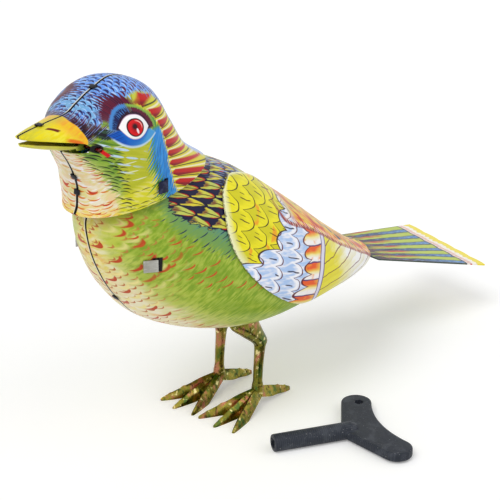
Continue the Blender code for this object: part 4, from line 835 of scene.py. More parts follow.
def head_print():
    """Blue cap, ringed eye, red brow, blue ear stripe, olive cheek and streaked throat."""
    paper = Print("head_print", (238, 230, 204), coat=PRINT_COAT)
    x, y, z = paper.bird_place()
    t, run, v = paper.attribute("skin")
    beak, lores, cap = paper.attribute("upper_edges")
    brow, stripe, cheek = paper.attribute("middle_edges")
    green, girth, nape = paper.attribute("lower_edges")
    cloud = paper.noise(run / 5, v / 5, detail=3)
    brushed = paper.noise(run / 1.1, v / 5, detail=3)
    level = z + x * 0.3
    combed = paper.noise(x / 5, level / 0.9, detail=3)

    # Throat
    paper.lay(brushed.above(0.5, 0.1) * 0.75, (224, 212, 104))
    paper.lay(cloud.above(0.52, 0.12) * brushed.above(0.45, 0.1) * 0.7, (240, 204, 166))
    paper.lay(paper.noise(run / 1.4, v / 6, detail=2).above(0.6, 0.05) * 0.8, (248, 244, 250))
    rim = t.above(9.0, 0.6)
    paper.lay(rim * brushed.above(0.4, 0.15) * 0.8, (240, 206, 62))
    lines = paper.strokes(v - run * 0.4, run + v * 0.2, 6.0, 2.0, 0.32, 0.7, 0.6)
    paper.lay(lines, (220, 122, 40))
    flames = paper.strokes(v - run * 0.5, run + v * 0.35, 5.5, 4.2, 0.5, 0.42, 1.0)
    paper.lay(flames * t.above(4.6, 0.4), (198, 62, 34))

    # Green band under the cheek
    edge = green + paper.noise(run / 2.0, v / 2.0) * 6 - 3
    paper.lay((edge + paper.hair(run + v * 0.3, 1.4) * 4).above(0, 1.2), (176, 196, 92))
    paper.lay(edge.above(1.5, 2.5), (126, 168, 50))
    paper.lay(edge.above(0, 1) * combed.above(0.55, 0.06) * 0.75, (74, 122, 44))
    paper.lay(edge.above(0, 1) * combed.below(0.4, 0.05) * 0.5, (168, 190, 66))

    # Cheek
    inside = cheek + paper.hair(run + v * 0.5, 1.7) * 2.5
    paper.lay(inside.above(0, 1.2), (186, 190, 42))
    paper.lay(inside.above(0, 1) * combed.above(0.56, 0.08) * 0.5, (206, 206, 62))
    front = (x + paper.hair(level, 1.1) * 3 - 1.5).below(-60.2, 0.8) * inside.above(0, 1)
    paper.lay(front, (112, 152, 44))
    paper.lay(front * combed.above(0.54, 0.06) * 0.7, (176, 190, 60))
    paper.lay(front * combed.below(0.44, 0.05) * 0.6, (60, 104, 40))
    paper.lay(paper.strokes(x, level, 4.8, 2.6, 0.42, 0.62) * abs(cheek - 4).below(5.5, 1.5)
              * t.below(7.2, 0.4) * t.above(4.4, 0.2), (196, 220, 240))
    paper.lay(paper.strokes(x + 2, z - x * 0.1, 5.2, 3.1, 0.24, 0.5) * cheek.near(5, 4, 1)
              * t.above(5.4, 0.4), (226, 230, 190))
    low_front = front * z.below(113.0, 0.8)
    rear = t.above(8.3, 0.25) * cheek.above(-3, 1)
    paper.lay(rear, (222, 218, 44))
    paper.lay(rear * combed.above(0.55, 0.06) * 0.6, (240, 232, 150))
    paper.lay(paper.strokes(x, z - x * 0.15, 3.4, 1.5, 0.17, 0.6, 0.3) * rear, (40, 40, 30))
    dashes = paper.strokes(x + 3, level, 3.0, 1.15, 0.24, 0.8, 0.45)
    paper.lay(dashes * green.above(-2, 1) * cheek.below(1.6, 0.8).most(low_front) * t.above(3.6, 0.3),
              (18, 30, 18))

    # Blue stripe behind the cheek
    ragged = stripe + paper.hair(run + v * 0.4, 1.3) * 5 - 2
    paper.lay((stripe + paper.hair(run + v * 0.4, 1.1) * 6).above(0.5, 0.3) * t.above(6.5, 0.15),
              (84, 150, 70))
    paper.lay(ragged.above(0, 0.4) * z.below(116.2, 0.6), (40, 138, 220))
    paper.lay(ragged.above(0, 0.4) * z.below(116.2, 0.6) * brushed.above(0.58, 0.1) * 0.5, (96, 176, 236))
    paper.lay(paper.strokes(v + run * 0.5, run - v * 0.5, 4, 1.2, 0.16, 0.7) * stripe.near(2.5, 2.8, 0.5)
              * t.above(7.5, 0.1), (22, 40, 110))

    # Brow band: thick red hooks with yellow, white and dark lines between them
    on_brow = brow + paper.hair(run, 1.1) * 1.5 - 0.7
    paper.lay(on_brow.above(0, 0.3) * t.above(5.7, 0.3), (226, 214, 40))
    paper.lay(on_brow.above(0, 0.3) * t.below(6.7, 0.3) * 0.5, (168, 190, 80))
    place = (brow / (brow - cap).most(0.5)).most(0.0)
    rung = (z + x * 0.3 - place * 2.4) / 3.0
    f = rung.part() - 0.5
    full = (1.0 - place * 0.8) * (place * 7.0).least(1.0)
    red = (full * (paper.random(rung.floor()) * 0.35 + 0.8) - abs(f) * 2.4).above(0.0, 0.12)
    ladder = on_brow.above(0.2, 0.3) * t.above(5.9, 0.3)
    paper.lay((f - 0.36).near(0, 0.06, 0.03) * ladder, (246, 240, 200))
    paper.lay((f + 0.40).near(0, 0.045, 0.02) * ladder, (70, 66, 24))
    paper.lay(red * ladder, (196, 26, 24))
    paper.lay(red * ladder * (f * 2.7 + place).below(0.0, 0.25) * 0.8, (112, 10, 28))

    # Cap
    fringe = cap + paper.hair(run, 0.85) * 3.5 - 2.2
    blue = paper.mix(cloud.above(0.5, 0.16), (92, 146, 238), (116, 170, 244))
    blue = paper.mix(t.below(4.6, 0.8) * cloud.above(0.42, 0.1) * 0.55, blue, (128, 190, 206))
    # Paler blue towards the nape: painted highlight; the strokes below fade out under it
    blue = paper.mix(nape.above(0, 6), blue, (176, 196, 240))
    paper.lay(fringe.above(0, 0.3), blue)
    on_cap = fringe.above(0.4, 0.4)
    light = paper.strokes(v + run * 0.25 + 1, run + 0.55, 3.6, 1.5, 0.24, 0.9, 0.5)
    paper.lay(light * on_cap * nape.below(6, 5), (168, 204, 250))
    dark = paper.strokes(v + run * 0.25, run, 3.5, 1.5, 0.33, 0.96, 0.6)
    paper.lay(dark * on_cap * nape.below(3, 5), (34, 22, 84))
    paper.lay(dark * on_cap * nape.below(3, 5) * cap.below(6, 2) * t.above(4.6, 0.6), (92, 20, 52))
    extra = paper.strokes(v + run * 0.25 + 2.4, run + 0.95, 2.6, 1.7, 0.2, 0.6, 0.7)
    paper.lay(extra * on_cap * nape.below(3, 5), (30, 30, 120))

    # Lores and the dark band round the beak
    bristle = lores + paper.hair(v + run * 0.2, 0.8) * 7 - 3.4
    paper.lay(bristle.above(0, 0.3), (100, 16, 50))
    paper.lay(lores.above(0.6, 1.2) * brushed.above(0.42, 0.1), (58, 8, 30))
    paper.lay(lores.above(2.0, 1.5) * combed.above(0.46, 0.08), (24, 8, 28))
    spot = (x + 62.3) * (x + 62.3) * 0.16 + (z - 117.2) * (z - 117.2) * 0.5
    paper.lay((spot - paper.hair(x - z * 0.4, 0.6) * 0.5).below(0.9, 0.3), (24, 26, 30))
    paper.lay((spot - combed * 1.2).below(0.2, 0.2) * combed.above(0.55, 0.05), (52, 84, 60))
    paper.lay(paper.strokes(run, v, 3.4, 0.95, 0.14, 0.6) * lores.above(-2.5, 1.2), (128, 150, 214))

    head_eye(paper, x, z)
    head_beak(paper, t, run, v, v / girth, beak)

    # Painted shade in and round the hinge hole, with the red end of its pin; painted shade along the seam, a
    # painted highlight on the rim beside it, and wear
    hole_x = x - BEAK_HINGE[0]
    hole_z = z - BEAK_HINGE[1]
    # Black disc: painted shade in and round the hinge hole, wider than the cut hole
    paper.lay(((hole_x + 0.4) * (hole_x + 0.4) + (hole_z - 0.2) * (hole_z - 0.2)).below(1.9, 0.5), BLACK)
    wire_end = ((hole_x - hole_z) * 0.707).near(1.6, 1.6, 0.15)
    paper.lay(wire_end * ((hole_x + hole_z) * 0.707).near(0, 0.5, 0.12), (214, 20, 26))
    seam_shade_highlight_and_chips(paper, x, y, z, t.above(3.0, 0.2), t.above(5.7, 0.5))
    lacquer(paper)
    return paper.done()


def seam_shade_highlight_and_chips(paper, x, y, z, edge_highlight_share, shade_widening):
    """Painted shade along the seam as a black line, wider by a share; a painted highlight along the edge
    beside it, by a share; and chips.
    """
    wander = paper.noise(x / 3, z / 3) * 0.16 - 0.08
    chips = paper.cloud(0.8, 2)
    paper.lay((chips * 1.6 - abs(y) * 1.1).above(0.74, 0.08) * 0.7, (104, 96, 80))
    # Pale line beside the seam: painted highlight on the edge
    paper.lay((y + wander).near(0.62, 0.2, 0.06) * edge_highlight_share * 0.85, (236, 232, 214))
    # Black line wider than the seam gap: painted shade in the gap
    paper.lay((abs(y) + wander - shade_widening * 0.15).below(0.4, 0.05), (12, 10, 12))


def head_eye(paper, x, z):
    """Almond of white with a red iris, dark lashes above and a blue crescent below."""
    tilt = radians(EYE_TILT)
    p = (x - EYE_CENTRE[0]) * cos(tilt) - (z - EYE_CENTRE[1]) * sin(tilt)
    q = (x - EYE_CENTRE[0]) * sin(tilt) + (z - EYE_CENTRE[1]) * cos(tilt)
    sweep = abs(p / 4.9) ** 2.3
    over = 3.6 - sweep * 3.6 - q
    under = q + 3.3 - sweep * 3.3
    white = over.least(under)
    lash = paper.hair(p + q * 0.25, 0.5)
    streak = paper.hair(p * 0.5 - q * 1.1 + 9, 0.5)

    # Blue crescent inside a pale ring
    hollow = q + 5.6 - abs(p / 8.0) ** 2.2 * 3.5
    lid = -q - 0.1 - (abs(p) - 4.6).most(0.0) * 0.6
    low = hollow.least(lid)
    paper.lay(hollow.above(-0.45, 0.25) * lid.above(0.3, 0.3) * p.above(-6.5, 1), (206, 228, 240))
    blue = paper.mix(p.above(0.5, 4), (16, 88, 190), (74, 160, 222))
    paper.lay(low.above(0.1, 0.3), blue)
    paper.lay(low.above(0.1, 0.3) * white.above(-1.3, 0.7) * 0.8, (20, 104, 200))
    paper.lay(low.above(0.2, 0.2) * p.below(-4.2, 1.2) * streak.above(0.45, 0.2) * 0.8, (16, 34, 96))

    # Brow hairs, blue and green arc, lashes
    above_eye = q.above(-0.7, 0.35)
    ring_p = p + 0.4
    ring_q = q + 1.2
    ring_x = ring_p.most(0.0) / 8.0 + (-ring_p).most(0.0) / 6.5
    ring = (ring_x ** 1.8 + (ring_q.most(0.0) / 7.1) ** 1.8) ** 0.556
    turn = ring_p / (ring_q + 2.0).most(0.8)
    ray = paper.hair(turn * 6.0, 0.62)
    fine_ray = paper.hair(turn * 6.0 + 5, 0.35)
    hairs = ring - ray * 0.2
    lid_left = (ring_q + ring_p * 0.15).above(1.6, 0.5)
    paper.lay(hairs.below(1.24, 0.03) * lid_left * p.below(1.6, 1.0), MAROON)
    paper.lay(hairs.below(1.22, 0.03) * lid_left * p.below(0.6, 1.5) * fine_ray.above(0.45, 0.15),
              (44, 14, 48))
    paper.lay((ring - fine_ray * 0.06).below(1.03, 0.015) * above_eye * p.below(-0.6, 0.5), (70, 132, 200))
    paper.lay((ring + fine_ray * 0.06).below(1.08, 0.02) * above_eye * p.above(-0.6, 0.5), (134, 178, 74))
    paper.lay((ring + fine_ray * 0.09).below(0.97, 0.015) * above_eye * p.below(-0.6, 1.0), (24, 30, 78))
    paper.lay((ring + fine_ray * 0.1).below(1.0, 0.015) * above_eye * p.above(-0.6, 1.0), (92, 22, 48))
    paper.lay(ring.below(0.9, 0.04) * above_eye * p.below(-0.5, 1.0) * ray.above(0.5, 0.1), (60, 120, 190))
    paper.lay((over - lash * 0.8).above(-1.2, 0.2) * above_eye, (40, 10, 34))

    # White, iris, pupil and glint
    paper.lay(white.above(-0.18, 0.08), (196, 160, 190))
    paper.lay(white.above(0.0, 0.1), WHITE)
    reach = (p * p + q * q * 1.2) ** 0.5
    paper.lay(reach.below(2.95, 0.07), (44, 4, 14))
    paper.lay(reach.below(2.55, 0.1), (216, 18, 28))
    paper.lay(reach.near(2.2, 0.12, 0.12) * p.above(0.2, 0.5) * q.above(0.0, 0.5), (252, 196, 190))
    paper.lay(reach.below(1.55, 0.35) * 0.6, (160, 8, 24))
    pupil = ((p + 0.35) * (p + 0.35) + (q - 0.35) * (q - 0.35)) ** 0.5
    paper.lay(pupil.below(0.85, 0.3), (50, 4, 16))
    glint_p = p - 0.55
    glint_q = q + 1.0
    glint = glint_p * glint_p * 2.6 + glint_q * glint_q * 0.9 + glint_p * glint_q * 1.6
    paper.lay(glint.below(0.42, 0.12), (252, 226, 236))


def head_beak(paper, t, run, v, share, beak):
    """Yellow upper beak with an orange base, a nostril stroke and an olive shade."""
    grain = paper.noise(run / 3, v / 0.9, detail=3)
    tone = paper.mix(grain.above(0.5, 0.1), (240, 222, 20), (250, 238, 70))
    tone = paper.mix(beak.below(3.0, 1.4) * grain.above(0.38, 0.2), tone, (242, 172, 44))
    tone = paper.mix(t.below(1.4, 0.6) * grain.above(0.48, 0.1) * 0.6, tone, (190, 184, 40))
    tone = paper.mix(v.below(2.4, 1.4) * grain.above(0.4, 0.1) * 0.7, tone, (206, 196, 40))
    on_beak = beak.above(0.0, 0.12)
    paper.lay(on_beak, tone)
    side_along = (t - 1.62) * BEAK_STEP
    side_down = (share - 0.22) * 20.0
    length = side_along * 0.53 + side_down * 0.85
    width = side_along * 0.85 - side_down * 0.53
    nostril = (0.42 - abs(width)).above(0.0, 0.15)
    paper.lay(nostril * length.near(1.5, 1.7, 0.2) * on_beak, (110, 34, 20))
    gape_along = (t - 2.35) * BEAK_STEP
    gape_down = (share - 0.53) * 25.0
    gape = (gape_down - gape_along * 0.45).near(0.0, 0.75, 0.3) * gape_along.near(2.3, 2.4, 0.6)
    paper.lay(gape * beak.above(-1.2, 0.3), (240, 120, 28))


def build_shell(name, sections, side, grid):
    """Fine half shell, printed outside and bare inside."""
    t, a = np.meshgrid(np.linspace(0, len(sections) - 1, grid[0]), np.linspace(0, 1, grid[1]),
                       indexing="ij")
    outer = shell_point(sections, t, a, side)
    inner = shell_point(sections, t, a, side, SHEET)
    return make_piece(name, *sheet_solid(outer, inner))


def wall_at(sections, x, z):
    """Half width of a shell's outside on a line along Y."""
    t, _ = shell_place(sections, np.array([[x, 0.0, z]]))
    top_x, top_z, low_x, low_z, half = row_at(sections, t)[0]
    reach = hypot(x - (top_x + low_x) / 2, z - (top_z + low_z) / 2)
    reach /= hypot(top_x - low_x, top_z - low_z) / 2
    return half * max(1 - reach ** SECTION_POWER, 0.0) ** (1 / SECTION_POWER) + SEAM / 2


def lug_slot(name, sections, centre, side):
    """Cutter for the slot that a lug passes through."""
    x, z = centre
    wall = wall_at(sections, x, z)
    low, high = sorted((side * (wall - CUT_PAST), side * (wall + CUT_PAST)))
    half = LUG_WIDTH / 2 + SEAT
    return box(name, (x - LUG_SLOT, low, z - half), (x + LUG_SLOT, high, z + half))


def head_fields(piece):
    """Store where the head's printed bands begin and end, and where the painted highlight on the nape begins.
    """
    t, a = shell_place(HEAD_SECTIONS, bird_points(piece))
    run, v, girth = surface_lengths(HEAD_SECTIONS, t, a)
    beak, lores = [(curve_through(line, a) - t) * BEAK_STEP for line in (BEAK_LINE, LORES_LINE)]
    cap, brow, stripe, cheek, green = [(curve_through(line, t) - a) * girth for line in HEAD_LINES.values()]
    store(piece, "skin", t, run, v)
    store(piece, "upper_edges", beak, lores, cap)
    store(piece, "middle_edges", brow, stripe, cheek)
    # The last number is the distance past the start of the painted highlight on the nape
    store(piece, "lower_edges", green, girth, run - 58 - v * 0.2)


def body_print():
    """Green breast with rust strokes, navy mantle with yellow scallops, pale belly, red rump."""
    paper = Print("body_print", CREAM, coat=PRINT_COAT)
    x, y, z = paper.bird_place()
    t, run, v = paper.attribute("skin")
    mantle, teal, green = paper.attribute("upper_edges")
    rump, front, _ = paper.attribute("lower_edges")
    cloud = paper.noise(run / 9, v / 9, detail=3)
    slant = run - v * 0.35
    brushed = paper.noise(slant / 0.9, v / 5, detail=3)

    # Pale belly and yellow front
    paper.lay(cloud.above(0.52, 0.1) * 0.6, (232, 214, 150))
    paper.lay(front.above(0, 5) * brushed.above(0.4, 0.2), (224, 206, 84))
    paper.lay(paper.noise(run / 3, v / 9).above(0.58, 0.06) * 0.6, (248, 244, 226))
    paper.lay(paper.noise(run / 3 + 9, v / 7).above(0.6, 0.06) * 0.6, (236, 178, 110))

    # Green
    edge = green + (cloud - 0.5) * 14 + paper.hair(run, 2.0) * 2
    paper.lay(edge.above(-3, 5), (206, 208, 116))
    paper.lay(edge.above(2, 6), (172, 190, 66))
    paper.lay(edge.above(9, 7), (146, 174, 48))
    paper.lay(edge.above(0, 4) * brushed.above(0.55, 0.08) * 0.6, (190, 204, 88))
    paper.lay(edge.above(0, 4) * brushed.below(0.44, 0.06) * 0.55, (104, 146, 30))
    paper.lay(edge.above(6, 6) * cloud.above(0.54, 0.06) * 0.5, (122, 158, 34))
    paper.lay(front.above(2, 6) * edge.above(0, 3) * 0.8, (196, 204, 60))

    # Rows of rust strokes
    breast = front.above(-26, 6) + green.below(-2, 3)
    fine = paper.strokes(v + run * 0.6, run - v * 0.35, 4.4, 2.6, 0.3, 0.62, 0.9)
    paper.lay(fine * teal.below(-2, 1) * breast * 0.75, (190, 116, 60))
    bold = paper.strokes(v + run * 0.6 + 5, run - v * 0.35 + 1, 8.0, 4.8, 0.62, 0.48, 1.2, soft=0.16)
    paper.lay(bold * teal.below(-3, 1) * breast, (190, 74, 32))
    pale = paper.strokes(v + run * 0.6 + 1, run - v * 0.35 + 2.6, 7.0, 4.8, 0.7, 0.5, 1.2, soft=0.5)
    paper.lay(pale * teal.below(-6, 2) * breast * 0.7, (240, 226, 150))
    commas = paper.strokes(v + run * 0.25, run, 5.2, 3.4, 0.4, 0.5, 0.9)
    paper.lay(commas * teal.near(-8, 6, 1), (196, 84, 34))
    # Black patch beside the breast lug: painted shade in its slot
    lug_x = x - BREAST_LUG[0] - 0.5
    lug_z = z - BREAST_LUG[1]
    paper.lay(abs(lug_x).below(1.5, 0.2) * abs(lug_z).below(2.5, 0.2), BLACK)

    # Teal edge and the dark mantle
    haze = teal + paper.hair(run, 1.2) * 3 - 1.5
    paper.lay(haze.above(0, 1.4), (116, 158, 84))
    paper.lay(haze.above(4.5, 1.6) * t.above(1.5, 0.5), (92, 146, 124))
    dashes = paper.strokes(v, run, 4.2, 1.7, 0.26, 0.6, 0.3)
    paper.lay(dashes * teal.above(-1, 0.8), (34, 50, 78))
    ragged = mantle + paper.noise(run / 1.6, v / 1.6) * 5 - 2.5
    paper.lay(ragged.above(0, 0.25), NAVY)
    wobble = paper.noise(run / 4, v / 4) * 3
    inside, shaft, chance, gap = paper.scallops(run + wobble * 0.5, v + wobble * 0.4, 6.4, 5.4, 0.8, 2.2)
    on_mantle = ragged.above(0.6, 0.3)
    leaf = (3.1 - abs(inside - 3.4) - abs(shaft) * 0.85 + chance * 0.5).above(0.5, 0.25)
    paper.lay(on_mantle * inside.near(1.0, 0.6, 0.15) * abs(shaft).below(1.6, 0.2) * chance.above(0.3, 0.02),
              (196, 34, 28))
    leaf_tone = paper.mix(chance.above(0.5, 0.2), (222, 206, 60), (196, 204, 92))
    paper.lay(leaf * on_mantle, leaf_tone)
    paper.lay(leaf * on_mantle * abs(shaft).below(0.2, 0.12), (60, 50, 30))
    paper.lay(leaf * on_mantle * inside.above(4.6, 0.6) * 0.8, (120, 40, 50))
    paper.lay(gap.below(0.3, 0.1) * on_mantle, (14, 12, 34))
    paper.lay(mantle.above(22, 7) * paper.strokes(run, v, 5.0, 1.3, 0.4, 0.8), (132, 158, 214))

    # Rump and back between the wings
    flame = paper.noise(slant / 3.2, v / 9, detail=2)
    paper.lay(rump.above(0, 1.5), (236, 214, 70))
    paper.lay(rump.above(0, 1.5) * flame.above(0.5, 0.05), (232, 120, 56))
    paper.lay(rump.above(0, 1.5) * flame.above(0.6, 0.03), (176, 44, 40))
    paper.lay(rump.above(0, 1.5) * flame.below(0.36, 0.02), (70, 40, 56))

    # Painted shade along the seam, a painted highlight on the edge beside it, and chips
    seam_shade_highlight_and_chips(paper, x, y, z, 1.0, 0.0)
    lacquer(paper)
    return paper.done()


def body_fields(piece):
    """Store where the body's printed bands begin and end."""
    t, a = shell_place(BODY_SECTIONS, bird_points(piece))
    run, v, girth = surface_lengths(BODY_SECTIONS, t, a)
    mantle, teal, green, front, rump = [(curve_through(line, t) - a) * girth for line in BODY_LINES.values()]
    store(piece, "skin", t, run, v)
    store(piece, "upper_edges", mantle, teal, green)
    store(piece, "lower_edges", rump, -front)


def feather_ends(cells):
    """Rounded feather ends along an edge, one per whole number, from 0 to 1."""
    return 1 - abs(cells.part() * 2 - 1) ** 2.2


def wing_print():
    """Yellow scallops, ice blue and orange coverts, lined primaries and a flame band on top."""
    paper = Print("wing_print", YELLOW, coat=PRINT_COAT)
    x, y, z = paper.bird_place()
    band, first, second = paper.attribute("wing_edges")
    third, edge_gap, _ = paper.attribute("wing_rest")
    wobble = paper.noise(x / 7, z / 7, y / 7) * 3 - 1.5
    slope = radians(33)
    along = x * cos(slope) - z * sin(slope) + wobble
    across = x * sin(slope) + z * cos(slope) + wobble * 0.6
    brushed = paper.noise(along / 6, across / 0.8, detail=3)
    ink = (64, 34, 30)

    # Yellow lesser coverts
    paper.lay(brushed.above(0.5, 0.1) * 0.6, (232, 222, 24))
    inside, shaft, chance, gap = paper.scallops(along + 2, across, 6.8, 6.9, 0.72, 2.3)
    paper.lay(inside.above(4.4, 1.6) * 0.7, (206, 200, 32))
    paper.lay(chance.above(0.9, 0.02) * inside.near(3.6, 1.4, 0.8), (244, 170, 40))
    paper.lay(abs(shaft + wobble * 0.2).below(0.14, 0.07) * inside.near(4.0, 2.1, 0.3), ink)
    paper.lay(abs(shaft - 1.4).below(0.1, 0.06) * inside.near(4.4, 1.0, 0.3), ink)
    paper.lay(gap.below(0.24, 0.08), (30, 20, 24))
    # Pale rim along the wing's edge: painted highlight
    paper.lay((-edge_gap).above(-1.6, 1.2), (240, 240, 190))

    # Ice blue greater coverts, in two rows
    tilt = radians(14)
    low_along = x * cos(tilt) - z * sin(tilt) + wobble
    low_across = x * sin(tilt) + z * cos(tilt) + wobble * 0.5
    start = first + feather_ends(across / 6.9) * 2.6 - 1.2
    cells = low_across / 4.3
    on_blue = start.above(0, 0.08)
    tone = paper.mix(paper.noise(low_along / 5, low_across / 1.2).above(0.55, 0.12), (176, 204, 244),
                     (244, 244, 252))
    paper.lay(on_blue, tone)
    deep, quill, luck, line = paper.scallops(low_along + 1.5, low_across + low_along * 0.2, 9.4, 4.6,
                                             0.4, 2.6)
    paper.lay(on_blue * deep.near(1.6, 1.0, 0.6), (250, 250, 255))
    paper.lay(on_blue * (quill + 0.5).near(0.0, 0.2, 0.1) * deep.near(4.2, 2.6, 0.4) * luck.above(0.2, 0.02),
              (34, 30, 70))
    paper.lay(on_blue * line.below(0.28, 0.08), (96, 16, 36))
    paper.lay(start.near(0.0, 0.22, 0.08), ink)

    # Orange coverts
    begin = second + feather_ends(cells) * 2.2 - 1
    on_orange = begin.above(0, 0.08)
    flame = paper.noise(low_along / 4 + cells.floor(), low_across / 3)
    paper.lay(on_orange, (244, 226, 96))
    mid_part = (low_across / 5.4).part() - 0.5
    paper.lay(on_orange * mid_part.above(0.08, 0.12) * begin.below(4.6, 1.4), (238, 96, 40))
    paper.lay(on_orange * mid_part.below(-0.1, 0.14), (250, 246, 246))
    paper.lay(on_orange * flame.above(0.62, 0.05) * 0.7, (244, 160, 60))
    paper.lay(on_orange * abs(mid_part).above(0.46, 0.02), (78, 46, 110))
    paper.lay(begin.near(0.0, 0.24, 0.08), (96, 22, 40))

    # Primaries
    rise = z - x * 0.02 + wobble * 0.5 + (x - 30) * (x - 30) * 0.001
    stripe = (rise / 4.1).part() - 0.5
    on_primary = third.above(0, 0.1)
    fade = paper.noise(x / 5, z / 2) * 14 - 7
    primary = paper.mix((x + fade).above(34, 7), (236, 226, 52), (248, 248, 246))
    paper.lay(third.above(-1.3, 0.2) * on_orange, (224, 222, 240))
    paper.lay(third.near(-1.3, 0.14, 0.08) * on_orange, (104, 84, 132))
    paper.lay(on_primary, primary)
    paper.lay(on_primary * stripe.below(-0.2, 0.25) * 0.35, (216, 200, 60))
    paper.lay(on_primary * abs(stripe).below(0.035, 0.015), (120, 66, 50))
    paper.lay(third.near(0.0, 0.16, 0.08), (104, 84, 132))

    # Flame band along the top
    fringe = band + paper.hair(x, 0.9) * 1.5 - 0.6
    on_band = fringe.above(0, 0.15) * x.above(11, 2)
    slanted = paper.noise((x + z * 0.9) / 2.2, (z - x) / 12, detail=2)
    hot = paper.mix(slanted.above(0.5, 0.05), (238, 206, 70), (232, 104, 40))
    hot = paper.mix(slanted.above(0.57, 0.03), hot, (186, 44, 40))
    hot = paper.mix(slanted.below(0.4, 0.03), hot, (64, 56, 92))
    paper.lay(on_band, hot)
    paper.lay(band.near(0.3, 0.9, 0.3) * x.above(3, 2) * paper.hair(x + 2, 0.9).below(0.55, 0.2),
              (150, 50, 50))
    ladder = paper.strokes(x * 0.4 - z * 0.9, x + z * 0.4, 3.0, 1.1, 0.22, 0.9)
    paper.lay(ladder * band.near(1.6, 1.4, 0.4) * x.above(6, 2), (250, 226, 214))
    # Faint pale wash along the top: painted sheen
    paper.lay(band.above(7.5, 2.5) * 0.25 * x.above(0, 8), (236, 220, 150))

    chips = paper.cloud(0.9, 2)
    paper.lay((chips * 1.5 - edge_gap * 1.1).above(0.72, 0.06) * 0.8, (120, 112, 90))
    lacquer(paper)
    return paper.done()


def build_wing(side, word, materials):
    """Crowned pressed wing."""
    last = len(WING_EDGE) - 1
    u, share = np.meshgrid(np.linspace(0, last, WING_GRID[0]), np.linspace(0, 1, WING_GRID[1]),
                           indexing="ij")
    t, upper, lower = np.moveaxis(row_at(WING_EDGE, u), -1, 0)
    a = (upper + (lower - upper) * share) / 180
    point = shell_point(BODY_SECTIONS, t, a, side)
    normal = shell_normal(BODY_SECTIONS, t, a, side)
    crown = WING_CROWN * (np.maximum(np.sin(pi * u / last), 0) * np.sin(pi * share)) ** 0.6
    inner = point + normal * (SEAT + crown)[..., None]
    outer = point + normal * (SEAT + crown + SHEET)[..., None]
    piece = make_piece(f"printed_wing_{word}", *sheet_solid(outer, inner))
    across = running_lengths(outer, 1)
    width = across[:, -1:]
    values = [(curve_through(WING_BAND, u) - share) * width]
    values += [WING_STEP * u - curve_through(row, share) * WING_STEP for row in WING_ROWS]
    values.append(np.minimum(np.minimum(across, width - across), np.minimum(u, last - u) * WING_STEP))
    values = [np.tile(part.ravel(), 2) for part in values]
    store(piece, "wing_edges", *values[:3])
    store(piece, "wing_rest", *values[3:])
    finish_shading(piece, 50)
    return place(piece, materials, "bird", "wing_tin", f"wing_{word}")


def tail_matrix():
    """Placing of the tail's plane: x back along the tail, y its normal and z across."""
    slope = Matrix.Rotation(radians(TAIL_SLOPE), 4, "Y")
    lean = Matrix.Rotation(radians(TAIL_LEAN), 4, "X")
    flat = Matrix.Rotation(radians(90), 4, "X")
    return Matrix.Translation((TAIL_PIVOT[0], 0, TAIL_PIVOT[1])) @ slope @ lean @ flat


def build_tail(materials, bare):
    """Fan of thin sheet with a scalloped end, and its tongue with the barrel on the pivot and the lever."""
    share = np.linspace(-1, 1, TAIL_GRID[1])
    reach = np.linspace(0, 1, TAIL_GRID[0])[:, None]
    bulge = TAIL_SCALLOP_DEPTH * (np.abs(np.sin(pi * (share + 1) / 2 * TAIL_SCALLOPS)) ** 0.7 - 1)
    length = TAIL_LENGTH - TAIL_TRIM + bulge
    start = TAIL_TONGUE_LENGTH + TAIL_TONGUE_GAP
    x = start + (length - start) * reach
    grow = (x - TAIL_SHOULDER) / (TAIL_LENGTH - TAIL_SHOULDER)
    neck = np.clip((x - TAIL_TONGUE_LENGTH) / (TAIL_SHOULDER - TAIL_TONGUE_LENGTH), 0, 1)
    half = np.where(x < TAIL_SHOULDER, TAIL_TONGUE_HALF + (TAIL_ROOT_HALF - TAIL_TONGUE_HALF) * neck,
                    TAIL_ROOT_HALF + (TAIL_END_HALF - TAIL_ROOT_HALF) * grow)
    z = half * share
    upper, lower = (np.stack([x, np.full_like(x, height), z], -1) for height in (SHEET / 2, -SHEET / 2))
    points, faces, _ = sheet_solid(upper, lower)
    matrix = tail_matrix()
    fan = make_piece("printed_tail", moved(matrix, points), faces)
    store(fan, "fan", points[:, 0], points[:, 2], np.tile((length - x).ravel(), 2))
    store(fan, "fan_share", np.tile((0 * x + share).ravel(), 2))
    finish_shading(fan)
    place(fan, materials, "tail", "tail_tin", "tail")

    loose = TAIL_PIN_RADIUS + RUNNING
    outline = rectangle(loose + TAIL_BARREL_WALL / 2, -TAIL_TONGUE_HALF, TAIL_TONGUE_LENGTH, TAIL_TONGUE_HALF)
    tongue = prism("tail_tongue", outline, -SHEET / 2, SHEET / 2, matrix)
    barrel = round_pin("tail_barrel", TAIL_PIVOT, [(y, loose + TAIL_BARREL_WALL)
                                                   for y in (-TAIL_BARREL_HALF, TAIL_BARREL_HALF)])
    x0, z0 = TAIL_PIVOT
    eye = (x0, z0 - TAIL_LEVER)
    lever = [(x0 - 1.5, z0 - 1.2), (x0 + 1.5, z0 - 1.2), (x0 + 1.3, eye[1] - 1.2), (x0 - 1.3, eye[1] - 1.2)]
    combine(tongue, "UNION", barrel, prism("tail_lever", lever, -TAIL_LEVER_HALF, TAIL_LEVER_HALF))
    combine(tongue, "DIFFERENCE", bore("tail_bore", TAIL_PIVOT, loose, -TAIL_CUT, TAIL_CUT),
            bore("tail_rod_hole", eye, ROD_EYE_RADIUS, -CUT_PAST, CUT_PAST))
    finish_shading(tongue)
    place(tongue, [bare], "tail", "tail_tin")


